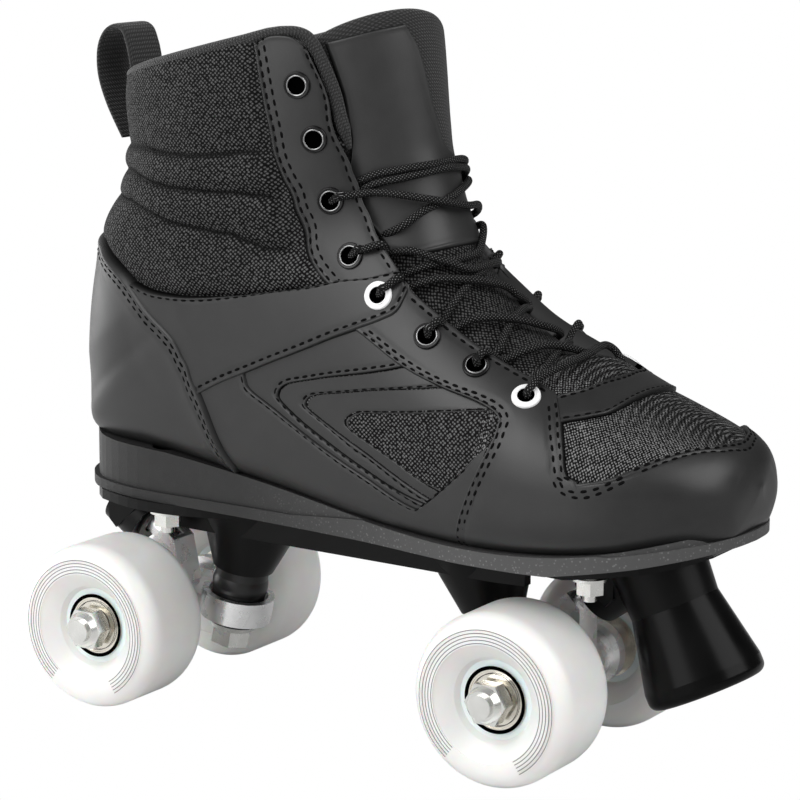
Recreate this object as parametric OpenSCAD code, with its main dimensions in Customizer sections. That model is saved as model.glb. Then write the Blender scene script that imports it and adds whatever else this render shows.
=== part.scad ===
// Quad roller skate: laced ankle boot on a moulded plate with two steering trucks and four wheels.
// Origin on the floor under the middle of the box, X to the toe, Y to the wearer's left, Z up.

/* [Wheels] */
// Wheel diameter
wheel_d = 58; // [54:1:60]
// Wheel width over both lips
wheel_w = 34; // [31:1:36]
// Radius of the rounded lips
wheel_lip_r = 7.5; // [5:0.5:9]
// Depth of the bearing face below the lip
hub_recess = 6.5; // [5:0.5:7.5]
// Radius of the flat ring where the dish begins
dish_r = 19.5; // [17:0.5:20]
// Distance between the front and rear axles
wheelbase = 161; // [154:1:168]
// Distance between the two wheel centres on one axle
track = 76; // [75:1:82]

/* [Bearings] */
// Outer diameter of a bearing
bearing_od = 22; // [21:0.5:23]
// Bore of a bearing
bearing_id = 8; // [7:0.5:8.5]
// Width of a bearing
bearing_w = 7; // [6:0.5:8]
// Diameter of a ball
ball_d = 4; // [3:0.25:4]
// Balls in a bearing
ball_n = 7; // [6:1:8]

/* [Trucks] */
// Distance from the axle to the middle of the cushion ring, along the skate
ring_inset = 26; // [24:1:28]
// Outer diameter of the cushion ring
ring_d = 26; // [25:0.5:28]
// Height of the cushion ring
ring_h = 9; // [8:0.5:10]
// Distance from the axle out to the pivot ball, along the skate
pivot_out = 12; // [11:0.5:14]
// Height of the pivot ball over the axle
pivot_up = 28; // [26:0.5:30]
// Diameter of the pivot ball
pivot_ball_d = 10; // [9:0.5:11]
// Diameter of the kingpin
kingpin_d = 8; // [7:0.5:9]
// Lean of the kingpin towards the middle of the skate, in degrees
kingpin_lean = 12; // [8:1:16]
// Diameter of the cast tube round the axle
hanger_d = 17; // [15:0.5:19]
// Diameter of the flange at each end of the hanger
hanger_flange_d = 22; // [20:0.5:24]
// Free height of the upper cushion above the ring
cushion_h = 10; // [9:0.5:11]
// Diameter of the cushions
cushion_d = 19; // [18:0.5:20]
// Width of the axle nuts and kingpin head across flats
nut_flats = 13; // [12:0.5:14]
// Height of an axle nut
nut_h = 7.5; // [6:0.5:8]

/* [Plate] */
// Height of the sole's underside over the axle, at the ball of the foot
deck_h = 41.2; // [40:0.2:44]
// Thickness of the plate's flange
flange_t = 3.5; // [3:0.25:4]
// Depth of the two rails under the flange
rail_h = 9; // [6:0.5:10]
// Wall of the rails and cross ribs
rail_t = 4; // [3:0.25:5]
// Half the distance between the rails
rail_y = 14; // [12:0.5:15]
// Half the distance between a pair of mounting bolts
bolt_y = 24; // [22:0.5:26]
// Diameter of the mounting bolts
bolt_d = 5; // [4:0.5:6]

/* [Toe stop] */
// Diameter of the stop where it meets the plate
stop_top_d = 30; // [28:0.5:31]
// Diameter of the stop at its pad
stop_pad_d = 40; // [37:0.5:40]
// Height of the stop along its own axis
stop_h = 30; // [27:0.5:31]
// Lean of the stop's axis forward, in degrees
stop_lean = 26; // [24:1:28]
// Diameter of the stop's bolt
stop_bolt_d = 8; // [7:0.5:9]

/* [Boot] */
// Length of the boot from heel to toe
boot_l = 260; // [252:1:266]
// Width of the boot at the ball of the foot
boot_w = 92; // [88:1:96]
// Height of the collar's front edge over the sole
boot_h = 172; // [166:1:178]
// Wall of the padded upper
upper_t = 3.5; // [3:0.25:4]
// Thickness of the leather panels
leather_t = 1.2; // [1:0.1:1.6]
// Thickness of the sole under the ball of the foot
sole_t = 6; // [5:0.5:8]
// Thickness of the insole
insole_t = 4; // [3:0.5:5]
// Diameter of the lace
lace_d = 3.0; // [2.8:0.1:3.4]
// Outer diameter of an eyelet
eyelet_d = 9; // [8.5:0.25:10]
// Hole in an eyelet
eyelet_hole_d = 5; // [4.75:0.25:5.5]
// Width of the pull loop's webbing
loop_w = 20; // [16:1:24]
// Thickness of the pull loop's webbing
loop_t = 2; // [1.6:0.1:2.4]

/* [Hidden] */
$fn = 64;
// Clearances: running fits, seats on one body, gaps between soft faces
run = 0.05;
seat = 0.02;
soft_gap = 0.3;
panel_lift = 0.5;

// Design sizes that the boot's stations below are drawn for
draw_l = 260;
draw_w = 92;
draw_h = 172;
draw_base = 76.5;
grade_x = boot_l / draw_l;
grade_y = boot_w / draw_w;
grade_z = boot_h / draw_h;

axle_z = wheel_d / 2;
deck_z = axle_z + deck_h;
feather_z = deck_z + sole_t;
axle_x = wheelbase / 2;
hub_gap = wheel_w - 2 * hub_recess - 2 * bearing_w;
bearing_y = hub_gap / 2 + bearing_w / 2;
wheel_in = track / 2 - wheel_w / 2;
nose_y = wheel_in + hub_recess;
nut_y = track / 2 + wheel_w / 2 - hub_recess;
washer_t = 1.2;
axle_half = nut_y + washer_t + nut_h + 1.4;

// Stations of the boot from toe to collar: ridge x z, underside or back x z, half width,
// share of the height above the widest point, fullness of the upper and lower half
stations = [
    [148.5, 98, 148.5, 98, 0.5, 0.55, 2.2, 2.2],
    [146.6, 107, 146.6, 91, 14.5, 0.55, 2.2, 2.6],
    [141, 112.5, 141, 87, 25.5, 0.56, 2.2, 3.2],
    [130, 117, 130, 84, 35, 0.57, 2.2, 4],
    [114, 122.5, 114, 80.5, 42.5, 0.58, 2.2, 5],
    [95, 130, 95, 78, 46, 0.6, 2.1, 5.5],
    [75, 139.5, 73, 76.5, 46, 0.6, 2, 5.5],
    [58.5, 150, 50, 76.5, 43.5, 0.6, 2, 5.5],
    [46.5, 163, 20, 79, 40.5, 0.58, 2.1, 5.5],
    [39.5, 175, -18, 85, 38, 0.56, 2.2, 5],
    [35, 185, -62, 90.5, 36.5, 0.54, 2.2, 4.5],
    [32.2, 193, -104, 93.5, 36, 0.52, 2.3, 3.2],
    [30.2, 200, -110, 110, 36.5, 0.52, 2.3, 2.5],
    [29, 207, -109.5, 134, 37, 0.5, 2.3, 2.3],
    [27.8, 215, -104, 157, 37.5, 0.5, 2.3, 2.3],
    [26.4, 225, -94, 180, 38, 0.5, 2.3, 2.3],
    [24.8, 236, -92, 201, 38.5, 0.5, 2.3, 2.3],
    [22.5, 248, -90, 217, 38, 0.5, 2.3, 2.3]
];
last_station = len(stations) - 1;
toe_station = 5.35;

// Outline of the sole: place along the boot and half width
sole_outline = [
    [146, 0], [144.5, 11], [139.5, 22], [129.5, 32], [114, 40], [95, 43.5], [74, 43], [50, 39.5],
    [20, 35], [-18, 32.5], [-50, 31.5], [-75, 30.5], [-93, 25], [-103, 16], [-108, 7], [-109.3, 0]
];

function grade(p) = [p[0] * grade_x, feather_z + (p[1] - draw_base) * grade_z];
toe_x = stations[0][0] * grade_x + 2 * panel_lift + leather_t;
heel_x = -110.3 * grade_x - 0.85 * (2 * panel_lift + leather_t);
box_x = (toe_x + heel_x) / 2;

// Point of a smooth curve through hand-set points, at parameter t counted in points
function pick(list, i) = list[max(0, min(len(list) - 1, i))];
function spline(list, t) =
    let (i = max(0, min(len(list) - 2, floor(t))), f = t - i)
    let (p0 = pick(list, i - 1), p1 = pick(list, i), p2 = pick(list, i + 1), p3 = pick(list, i + 2))
    let (m1 = (p2 - p0) / 2, m2 = (p3 - p1) / 2)
    (2 * f ^ 3 - 3 * f ^ 2 + 1) * p1 + (f ^ 3 - 2 * f ^ 2 + f) * m1
    + (3 * f ^ 2 - 2 * f ^ 3) * p2 + (f ^ 3 - f ^ 2) * m2;
function curve(list, n) = [for (i = [0:n]) spline(list, i * (len(list) - 1) / n)];

// Point of the boot's surface at a station and an angle, pushed out by off.
// Angle 0 is the ridge, 180 the underside or the back, negative angles the right side.
function boot_point(t, angle, off) =
    let (s = spline(stations, t))
    let (front = grade([s[0], s[1]]), back = grade([s[2], s[3]]))
    let (len0 = max(norm(front - back), 0.6), dir = (front - back) / len0)
    let (mid = front + (back - front) * s[5], w = max(s[4] * grade_y, 0.3) + off)
    let (a = (cos(angle) >= 0 ? len0 * s[5] : len0 * (1 - s[5])) + off)
    let (n = cos(angle) >= 0 ? s[6] : s[7])
    let (r = (abs(cos(angle) / a) ^ n + abs(sin(angle) / w) ^ n) ^ (-1 / n))
    let (tip = off * max(0, 1 - t / 2.5))
    [mid[0] + r * cos(angle) * dir[0] + tip, r * sin(angle), mid[1] + r * cos(angle) * dir[1]];

// Outward normal from the two directions along the surface
function boot_normal(t, angle) =
    let (along = boot_point(t + 0.05, angle, 0) - boot_point(t - 0.05, angle, 0))
    let (round = boot_point(t, angle + 1, 0) - boot_point(t, angle - 1, 0))
    let (d = cross(round, along), push = boot_point(t, angle, 1) - boot_point(t, angle, 0))
    (d * push > 0 ? 1 : -1) * d / norm(d);

// Patch with four curved edges, given as lists of [station, angle]
function patch_point(low, high, near, far, s, r) =
    (1 - r) * spline(low, s * (len(low) - 1)) + r * spline(high, s * (len(high) - 1))
    + (1 - s) * spline(near, r * (len(near) - 1)) + s * spline(far, r * (len(far) - 1))
    - (1 - s) * (1 - r) * low[0] - s * (1 - r) * low[len(low) - 1]
    - (1 - s) * r * high[0] - s * r * high[len(high) - 1];

// Closed solid between two grids of points with the same layout
module slab(outer, inner, wrap = false) {
    rows = len(outer);
    cols = len(outer[0]);
    n = rows * cols;
    steps = wrap ? rows - 1 : rows - 2;
    sheet = [for (i = [0:steps], j = [0:cols - 2])
        let (a = i * cols + j, b = ((i + 1) % rows) * cols + j)
        each [[a, a + 1, b + 1], [a, b + 1, b]]];
    back = [for (f = sheet) [f[0] + n, f[2] + n, f[1] + n]];
    long_edges = [for (i = [0:steps], j = [0, cols - 1])
        let (a = i * cols + j, b = ((i + 1) % rows) * cols + j)
        each (j == 0 ? [[a, b, b + n], [a, b + n, a + n]] : [[a, b + n, b], [a, a + n, b + n]])];
    end_edges = wrap ? [] : [for (i = [0, rows - 1], j = [0:cols - 2])
        let (a = i * cols + j, b = a + 1)
        each (i == 0 ? [[a, b + n, b], [a, a + n, b + n]] : [[a, b, b + n], [a, b + n, a + n]])];
    polyhedron(concat([for (r = outer) each r], [for (r = inner) each r]),
        concat(sheet, back, long_edges, end_edges));
}

// Leather panel on the boot: four edges, divisions and side (1 right, -1 left)
module panel(low, high, near, far, ns, nr, side, lift = panel_lift, flip = false) {
    grid = [for (i = [0:ns]) [for (j = [0:nr]) patch_point(low, high, near, far, i / ns, j / nr)]];
    top = [for (row = grid) [for (p = row) boot_point(p[0], side * p[1], lift + leather_t)]];
    under = [for (row = grid) [for (p = row) boot_point(p[0], side * p[1], lift)]];
    turned = (side < 0) != flip;
    if (turned) slab(under, top);
    else slab(top, under);
}

module placed() {
    translate([-box_x, 0, 0]) children();
}

// Truck frame: origin at the axle's middle, X outwards to the skate's end
module at_truck(end) {
    placed() translate([end * axle_x, 0, axle_z]) mirror([end > 0 ? 0 : 1, 0, 0]) children();
}
module at_kingpin() {
    translate([-ring_inset, 0, 1]) rotate([0, -kingpin_lean, 0]) children();
}
steer_lean = atan2(pivot_out + ring_inset, pivot_up - 1);
module at_pivot() {
    translate([pivot_out, 0, pivot_up]) rotate([0, steer_lean, 0]) children();
}
module at_wheel(end, side) {
    at_truck(end) translate([0, side * track / 2, 0]) rotate([90, 0, 0]) children();
}
module tube(r_out, r_in, h) {
    difference() {
        cylinder(r = r_out, h = h);
        translate([0, 0, -1]) cylinder(r = r_in, h = h + 2);
    }
}
module hex(flats, h) {
    cylinder(d = flats / cos(30), h = h, $fn = 6);
}

// Wheel body of urethane with rounded lips, dished faces and two bearing seats
module wheel(end, side) {
    core_r = bearing_od / 2 - 1.6;
    color("white") at_wheel(end, side) rotate_extrude() difference() {
        union() {
            translate([core_r, -wheel_w / 2 + wheel_lip_r])
                square([wheel_d / 2 - core_r, wheel_w - 2 * wheel_lip_r]);
            translate([core_r, -wheel_w / 2])
                square([wheel_d / 2 - wheel_lip_r - core_r, wheel_w]);
            for (m = [-1, 1]) translate([wheel_d / 2 - wheel_lip_r, m * (wheel_w / 2 - wheel_lip_r)])
                circle(r = wheel_lip_r);
        }
        for (m = [0, 1]) mirror([0, m]) {
            polygon([[dish_r, wheel_w / 2 + 1], [dish_r, wheel_w / 2 - 0.4],
                [bearing_od / 2 + 3.4, wheel_w / 2 - hub_recess + 1.4],
                [bearing_od / 2 + 2.2, wheel_w / 2 - hub_recess - 0.6],
                [bearing_od / 2 + seat, wheel_w / 2 - hub_recess - 0.6],
                [core_r - 1, wheel_w / 2 - hub_recess - 0.6], [core_r - 1, wheel_w / 2 + 1]]);
            translate([core_r - 1, hub_gap / 2])
                square([bearing_od / 2 + seat - core_r + 1, bearing_w + 1]);
        }
    }
}

// Outer rings with their dust shields, pressed into the wheel
race_r = (bearing_od + bearing_id) / 4;
ring_wall = 1.5;
shield_t = 0.4;
module bearing_outer_rings(end, side) {
    r_in = bearing_od / 2 - ring_wall;
    color("silver") at_wheel(end, side) for (m = [-1, 1]) translate([0, 0, m * bearing_y]) {
        rotate_extrude() difference() {
            translate([r_in, -bearing_w / 2]) square([ring_wall, bearing_w]);
            translate([race_r, 0]) circle(d = ball_d + 2 * run);
        }
        for (k = [-1, 1]) translate([0, 0, k * (bearing_w / 2 - 0.6) - shield_t / 2])
            tube(r_in, bearing_id / 2 + ring_wall + 0.3, shield_t);
    }
}
module bearing_balls(end, side) {
    color("gray") at_wheel(end, side) for (m = [-1, 1], i = [0:ball_n - 1])
        rotate(i * 360 / ball_n) translate([race_r, 0, m * bearing_y]) sphere(d = ball_d);
}
module bearing_inner_rings(end) {
    color("silver") for (side = [-1, 1]) at_wheel(end, side) for (m = [-1, 1])
        translate([0, 0, m * bearing_y]) rotate_extrude() difference() {
            translate([bearing_id / 2, -bearing_w / 2]) square([ring_wall, bearing_w]);
            translate([race_r, 0]) circle(d = ball_d + 2 * run);
        }
}
module bearing_spacers(end) {
    color("silver") for (side = [-1, 1]) at_wheel(end, side) translate([0, 0, -hub_gap / 2])
        tube(bearing_id / 2 + ring_wall, bearing_id / 2, hub_gap);
}

// Cast hanger: axle tube, cushion ring, pivot arm and pivot ball
module hanger(end) {
    root = [-12 * sin(steer_lean), -12 * cos(steer_lean)];
    pin_root = [pivot_out + root[0], pivot_up + root[1]];
    recess = cushion_d / 2 + 1.2;
    color("lightgray") at_truck(end) difference() {
        union() {
            rotate([90, 0, 0]) cylinder(d = hanger_d, h = 2 * wheel_in - 2, center = true);
            for (m = [-1, 1]) translate([0, m * (wheel_in - 3), 0]) rotate([90, 0, 0])
                cylinder(d = hanger_flange_d, h = 4, center = true);
            rotate([90, 0, 0]) cylinder(r = bearing_id / 2 + ring_wall, h = 2 * nose_y, center = true);
            rotate([90, 0, 0]) linear_extrude(16, center = true) polygon([
                [2, hanger_d / 2 - 1], [2, -hanger_d / 2 + 1],
                [-ring_inset + ring_d / 2 - 3, -ring_h / 2 + 2], [-ring_inset + ring_d / 2 - 3, ring_h / 2]]);
            rotate([90, 0, 0]) linear_extrude(12, center = true) polygon([
                [-hanger_d / 2 + 1, 0], [hanger_d / 2 - 1, 0],
                [pin_root[0] + 5, pin_root[1]], [pin_root[0], pin_root[1] + 5],
                [pin_root[0] - 5, pin_root[1] + 1]]);
            at_kingpin() translate([0, 0, -ring_h / 2]) cylinder(d = ring_d, h = ring_h);
            at_pivot() translate([0, 0, -14]) cylinder(d = pivot_ball_d - 1.6, h = 14);
            at_pivot() sphere(d = pivot_ball_d);
        }
        rotate([90, 0, 0]) cylinder(r = bearing_id / 2 + seat, h = 3 * track, center = true);
        at_kingpin() {
            cylinder(d = kingpin_d + 5, h = 3 * ring_h, center = true);
            translate([0, 0, ring_h / 2 - 3]) cylinder(r = recess, h = 3 * ring_h);
            translate([0, 0, -ring_h / 2 + 2 - 3 * ring_h]) cylinder(r = recess, h = 3 * ring_h);
        }
    }
}
module axle(end) {
    color("silver") at_truck(end) rotate([90, 0, 0])
        cylinder(r = bearing_id / 2 - seat, h = 2 * axle_half, center = true);
}
module axle_nuts(end) {
    color("silver") at_truck(end) for (m = [0, 1]) mirror([0, m, 0])
        translate([0, -nut_y, 0]) rotate([90, 0, 0]) difference() {
            union() {
                cylinder(d = nut_flats - 1, h = washer_t);
                translate([0, 0, washer_t]) hex(nut_flats, nut_h - 2);
                translate([0, 0, washer_t + nut_h - 2])
                    cylinder(d1 = nut_flats - 0.5, d2 = nut_flats - 3, h = 2);
            }
            translate([0, 0, -1]) cylinder(r = bearing_id / 2, h = nut_h + washer_t + 2);
        }
}

// Kingpin with its head below, cushions above and below the ring, and the cup washer
upper_seat = ring_h / 2 - 3 + soft_gap;
boss_seat = ring_h / 2 + cushion_h;
lower_seat = -ring_h / 2 + 2 - soft_gap;
washer_seat = -ring_h / 2 - 2;
kingpin_in = 20;
module kingpin(end) {
    color("silver") at_truck(end) at_kingpin() {
        translate([0, 0, washer_seat - 2.2 - 6]) hex(nut_flats, 6);
        translate([0, 0, washer_seat - 2.2])
            cylinder(d = kingpin_d, h = kingpin_in + boss_seat - washer_seat + 2.2);
        translate([0, 0, washer_seat - 2.2 - 7.2]) cylinder(d1 = nut_flats - 4, d2 = nut_flats - 1, h = 1.2);
    }
}
module kingpin_washer(end) {
    color("silver") at_truck(end) at_kingpin() translate([0, 0, washer_seat - 2.2]) difference() {
        cylinder(d1 = cushion_d - 3, d2 = cushion_d, h = 2.2);
        translate([0, 0, -1]) cylinder(d = kingpin_d + 2 * seat, h = 5);
    }
}
module upper_cushion(end) {
    h = boss_seat - upper_seat;
    color("#1c1c1c") at_truck(end) at_kingpin() translate([0, 0, upper_seat]) rotate_extrude() difference() {
        union() {
            square([cushion_d / 2, h]);
            translate([cushion_d / 2 - 8, h / 2]) circle(r = 8.5);
        }
        square([kingpin_d / 2 + seat, h]);
        translate([0, h]) square([cushion_d, cushion_d]);
        translate([0, -cushion_d]) square([cushion_d, cushion_d]);
        translate([-cushion_d, -cushion_d]) square([cushion_d, 3 * cushion_d]);
    }
}
module lower_cushion(end) {
    color("#1c1c1c") at_truck(end) at_kingpin() translate([0, 0, washer_seat])
        tube(cushion_d / 2 - 0.3, kingpin_d / 2 + seat, lower_seat - washer_seat);
}
cup_r = pivot_ball_d / 2 + 3.2;
module pivot_cup(end) {
    color("#262626") at_truck(end) at_pivot() difference() {
        translate([0, 0, -3]) cylinder(r = cup_r, h = 11);
        sphere(d = pivot_ball_d + 4 * run);
        translate([0, 0, -8]) cylinder(d = pivot_ball_d + 4 * run, h = 8);
    }
}

// Underside of the sole in side view, which the plate follows
deck_line = [
    [-106 * grade_x, deck_z + 2.2], [60 * grade_x, deck_z], [96 * grade_x, deck_z + 0.8],
    [124 * grade_x, deck_z + 5.5], [148 * grade_x, deck_z + 10.5]
];
function deck_at(x) = lookup(x, deck_line);
rear_bolt_x = -67;
front_bolt_x = 101;
bolt_places = [for (x = [rear_bolt_x, front_bolt_x], m = [-1, 1]) [x, m * bolt_y]];
plate_back = -axle_x - pivot_out - cup_r - 2;
stop_top = [119.5, 55.3];
stop_sink = 7;
stop_bolt_in = 15;
plate_nose = stop_top[0] + stop_top_d / 2 + 2;

// Side view line pushed down by d, as a band between two depths
module deck_band(d0, d1, half_w, x0, x1) {
    xs = [for (x = concat([x0], [for (p = deck_line) if (p[0] > x0 && p[0] < x1) p[0]], [x1])) x];
    rotate([90, 0, 0]) linear_extrude(2 * half_w, center = true) polygon(concat(
        [for (x = xs) [x, deck_at(x) - d0]], [for (i = [len(xs) - 1:-1:0]) [xs[i], deck_at(xs[i]) - d1]]));
}
// Half width of the flange: wide at the bolts, drawn in at the waist and the ends
function flange_half(x) = 22 + 12 * max(0, cos((x - rear_bolt_x) * 2.4) * (abs(x - rear_bolt_x) < 37 ? 1 : 0))
    + 12 * max(0, cos((x - front_bolt_x) * 2.4) * (abs(x - front_bolt_x) < 37 ? 1 : 0));
module flange_plan() {
    xs = [for (i = [0:48]) plate_back + (plate_nose - plate_back) * i / 48];
    end_r = function (x) min(1, sqrt(max(0, 1 - (1 - min(1, (x - plate_back) / 10)) ^ 2)));
    tip_r = function (x) min(1, sqrt(max(0, 1 - (1 - min(1, (plate_nose - x) / 16)) ^ 2)));
    half = function (x) 8 + (flange_half(x) - 8) * end_r(x) * tip_r(x);
    polygon(concat([for (x = xs) [x, half(x)]], [for (i = [48:-1:0]) [xs[i], -half(xs[i])]]));
}
module kingpin_boss() {
    at_kingpin() translate([0, 0, boss_seat]) cylinder(d1 = cushion_d + 3, d2 = 46, h = 32);
}
module pivot_housing() {
    top = deck_h + 12;
    at_pivot() translate([0, 0, -2]) cylinder(r = cup_r + 3, h = 14);
    rotate([90, 0, 0]) linear_extrude(2 * (cup_r + 3), center = true) polygon([
        [pivot_out - cup_r - 1, top], [pivot_out - 6, pivot_up + 9], [pivot_out + cup_r - 1, pivot_up - 3],
        [pivot_out + cup_r + 2, pivot_up], [pivot_out + cup_r + 2, top]]);
}
module at_stop() {
    translate([stop_top[0], 0, stop_top[1] - 29 + axle_z]) rotate([0, 180 - stop_lean, 0]) children();
}
module plate() {
    color("#141414") placed() difference() {
        intersection() {
            union() {
                intersection() {
                    deck_band(0, flange_t, 60, plate_back, plate_nose);
                    translate([0, 0, deck_z - 40]) linear_extrude(80) flange_plan();
                }
                for (m = [-1, 1]) translate([0, m * rail_y, 0])
                    deck_band(flange_t - 1, flange_t + rail_h, rail_t / 2, -axle_x + 8, axle_x - 8);
                for (x = [-24, -8, 8, 24]) translate([x, 0, deck_at(x) - flange_t - rail_h + 1])
                    translate([-rail_t / 2, -rail_y, 0]) cube([rail_t, 2 * rail_y, rail_h]);
                for (end = [-1, 1]) translate([end * axle_x, 0, axle_z]) mirror([end > 0 ? 0 : 1, 0, 0]) {
                    kingpin_boss();
                    pivot_housing();
                }
                at_stop() translate([0, 0, -40]) cylinder(d1 = stop_top_d + 6, d2 = stop_top_d, h = 40);
            }
            deck_band(0, 60, 60, plate_back - 5, plate_nose + 5);
        }
        for (end = [-1, 1]) translate([end * axle_x, 0, axle_z]) mirror([end > 0 ? 0 : 1, 0, 0]) {
            at_kingpin() translate([0, 0, boss_seat - 1])
                cylinder(d = kingpin_d + 2 * seat, h = kingpin_in + 1.5);
            at_pivot() translate([0, 0, -12]) cylinder(r = cup_r + seat, h = 20);
        }
        at_stop() translate([0, 0, -stop_bolt_in - 0.5]) cylinder(d = stop_bolt_d + 2 * seat, h = 40);
        for (p = bolt_places) translate([p[0], p[1], deck_z - 20]) cylinder(d = bolt_d + 2 * seat, h = 60);
    }
}

// Mounting bolts with heads sunk in the sole, and their washers and nuts under the flange
module plate_bolts() {
    color("silver") placed() for (p = bolt_places) translate([p[0], p[1], deck_at(p[0])]) {
        translate([0, 0, 1]) cylinder(d = 2 * bolt_d, h = 2.5);
        translate([0, 0, -flange_t - 9]) cylinder(d = bolt_d, h = flange_t + 10.5);
    }
}
module plate_nuts() {
    color("silver") placed() for (p = bolt_places) translate([p[0], p[1], deck_at(p[0]) - flange_t - 1.1])
        difference() {
            union() {
                translate([0, 0, -1]) cylinder(d = 12, h = 1);
                translate([0, 0, -5.5]) hex(8.5, 4.5);
            }
            translate([0, 0, -8]) cylinder(d = bolt_d + 2 * seat, h = 10);
        }
}

// Moulded rubber stop with a rolled pad edge and a sunk bolt
module toe_stop() {
    roll = 3;
    color("#0c0c0c") placed() at_stop() difference() {
        rotate_extrude() union() {
            polygon([[0, 0], [stop_top_d / 2, 0], [stop_pad_d / 2, stop_h - 2 * roll],
                [stop_pad_d / 2, stop_h - roll], [0, stop_h - roll]]);
            translate([0, stop_h - 2 * roll]) square([stop_pad_d / 2 - roll, 2 * roll]);
            translate([stop_pad_d / 2 - roll, stop_h - roll]) intersection() {
                circle(r = roll);
                translate([0, -roll]) square(2 * roll);
            }
        }
        translate([0, 0, -1]) cylinder(d = stop_bolt_d + 2 * seat, h = stop_h + 2);
        translate([0, 0, stop_h - stop_sink]) cylinder(d = nut_flats + 4, h = stop_sink + 1);
    }
}
module toe_stop_bolt() {
    color("silver") placed() at_stop() {
        translate([0, 0, -stop_bolt_in]) cylinder(d = stop_bolt_d, h = stop_h + stop_bolt_in - stop_sink);
        translate([0, 0, stop_h - stop_sink]) hex(nut_flats, stop_sink - 2);
    }
}

// Sole: plan outline between the deck line and the boot's underside, with a lip round the bottom
function outline_points(inset) =
    let (half = [for (p = curve(sole_outline, 60)) [p[0] * grade_x, max(0, p[1] * grade_y)]])
    let (mid = 20 * grade_x)
    [for (p = half) [mid + (p[0] - mid) * (1 - inset / 125), p[1] * (1 - inset / 44)]];
module outline_plan(inset) {
    half = outline_points(inset);
    n = len(half);
    polygon(concat(half, [for (i = [n - 2:-1:1]) [half[i][0], -half[i][1]]]));
}
function underside(t) = let (s = spline(stations, t)) grade([s[2], s[3]]);
feather_ts = [for (i = [0:40]) 1 + i * 10 / 40];
feather_line = [for (t = feather_ts) underside(t)];
feather_span = [[heel_x - 5, feather_line[40][1]], [toe_x + 5, feather_line[0][1]]];
module side_prism(points) {
    rotate([90, 0, 0]) linear_extrude(200, center = true) polygon(points);
}
module sole() {
    top = concat([feather_span[1]], feather_line, [feather_span[0]]);
    lip = 1.8;
    lip_line = [[toe_x + 4, 4.5], [116, 4.8], [96, 9], [40, 9], [-8, 4.2], [-60, 3.5], [heel_x - 4, 3.5]];
    color("#2b2b2b") placed() difference() {
        intersection() {
            union() {
                translate([0, 0, deck_z - 5]) linear_extrude(60) outline_plan(0);
                intersection() {
                    translate([0, 0, deck_z - 5]) linear_extrude(60) outline_plan(-lip);
                    side_prism(concat([[heel_x - 4, deck_z - 20], [toe_x + 4, deck_z - 20]],
                        [for (p = lip_line) [p[0], deck_at(p[0]) + p[1]]]));
                }
            }
            side_prism(concat([for (p = top) [p[0], p[1] - 2 * soft_gap]],
                [[heel_x - 5, deck_line[0][1] + seat]], [for (p = deck_line) [p[0], p[1] + seat]],
                [[toe_x + 5, deck_line[4][1] + seat]]));
        }
        for (p = bolt_places) translate([p[0], p[1], deck_at(p[0])]) {
            translate([0, 0, -5]) cylinder(d = bolt_d + 2 * seat, h = 10);
            translate([0, 0, 1 - seat]) cylinder(d = 2 * bolt_d + 2 * seat, h = 60);
        }
    }
}
// Feather edge: angle where the boot's side turns under, at each station
feather = [[2, 128], [2.5, 124], [3.7, 119], [5, 118], [6.2, 124], [7, 129], [7.5, 133], [8.3, 141],
    [9.5, 153], [10, 158], [10.8, 164]];
module insole() {
    ts = [2, 2.6, 3.3, 4, 4.7, 5.4, 6, 6.6, 7.2, 7.8, 8.4, 9, 9.5, 10, 10.4, 10.7];
    cols = 10;
    sheet = function (depth) [for (t = ts) [for (j = [0:cols])
        let (edge = lookup(t, feather) + 3) boot_point(t, edge + (360 - 2 * edge) * j / cols, -depth)]];
    under = upper_t + 3 * soft_gap;
    color("#3a3a3a") placed() slab(sheet(under), sheet(under + insole_t));
}

// Throat edge: half opening angle of the lacing gap at each station
throat = [[5.35, 42], [6.6, 37.5], [7.7, 37], [8.9, 33], [9.8, 26.6], [11.6, 20.2], [13.4, 25.7],
    [14.4, 32.7], [16.3, 44.3], [17, 49]];
function throat_at(t) = lookup(t, throat);

// Rolls of the padded ankle: seam and valley lines as [angle, station], and the swell between them
seam_line = [[40, 9.8], [65, 10.95], [106, 12.2], [140, 13.1], [156, 13.9], [180, 14.4]];
valley_low = [[38, 10.8], [75, 12.6], [129, 13.8], [149, 14.5], [180, 14.9]];
valley_mid = [[39, 12.5], [81, 13.6], [128, 14.4], [158, 15], [180, 15.1]];
valley_top = [[40, 13.7], [56, 14.1], [103, 14.8], [157, 15.4], [180, 15.6]];
roll_h = 2.4;
stay_rear = [[9.75, 45], [10.5, 39], [11.3, 35], [13.1, 42], [15.2, 61], [16.5, 71]];
function swell(t, a, b) = t <= a || t >= b ? 0 : sin(180 * (t - a) / (b - a)) ^ 0.7;
function ankle_roll(t, angle) =
    let (a = abs(angle), lines = [for (l = [seam_line, valley_low, valley_mid, valley_top]) lookup(a, l)])
    let (fade = min(1, max(0, (a - lookup(t, stay_rear) - 2) / 9)))
    roll_h * fade * max(swell(t, lines[0], lines[1]), swell(t, lines[1], lines[2]),
        swell(t, lines[2], lines[3]), 0.8 * swell(t, lines[3], 17.2));

around = 36;
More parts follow.
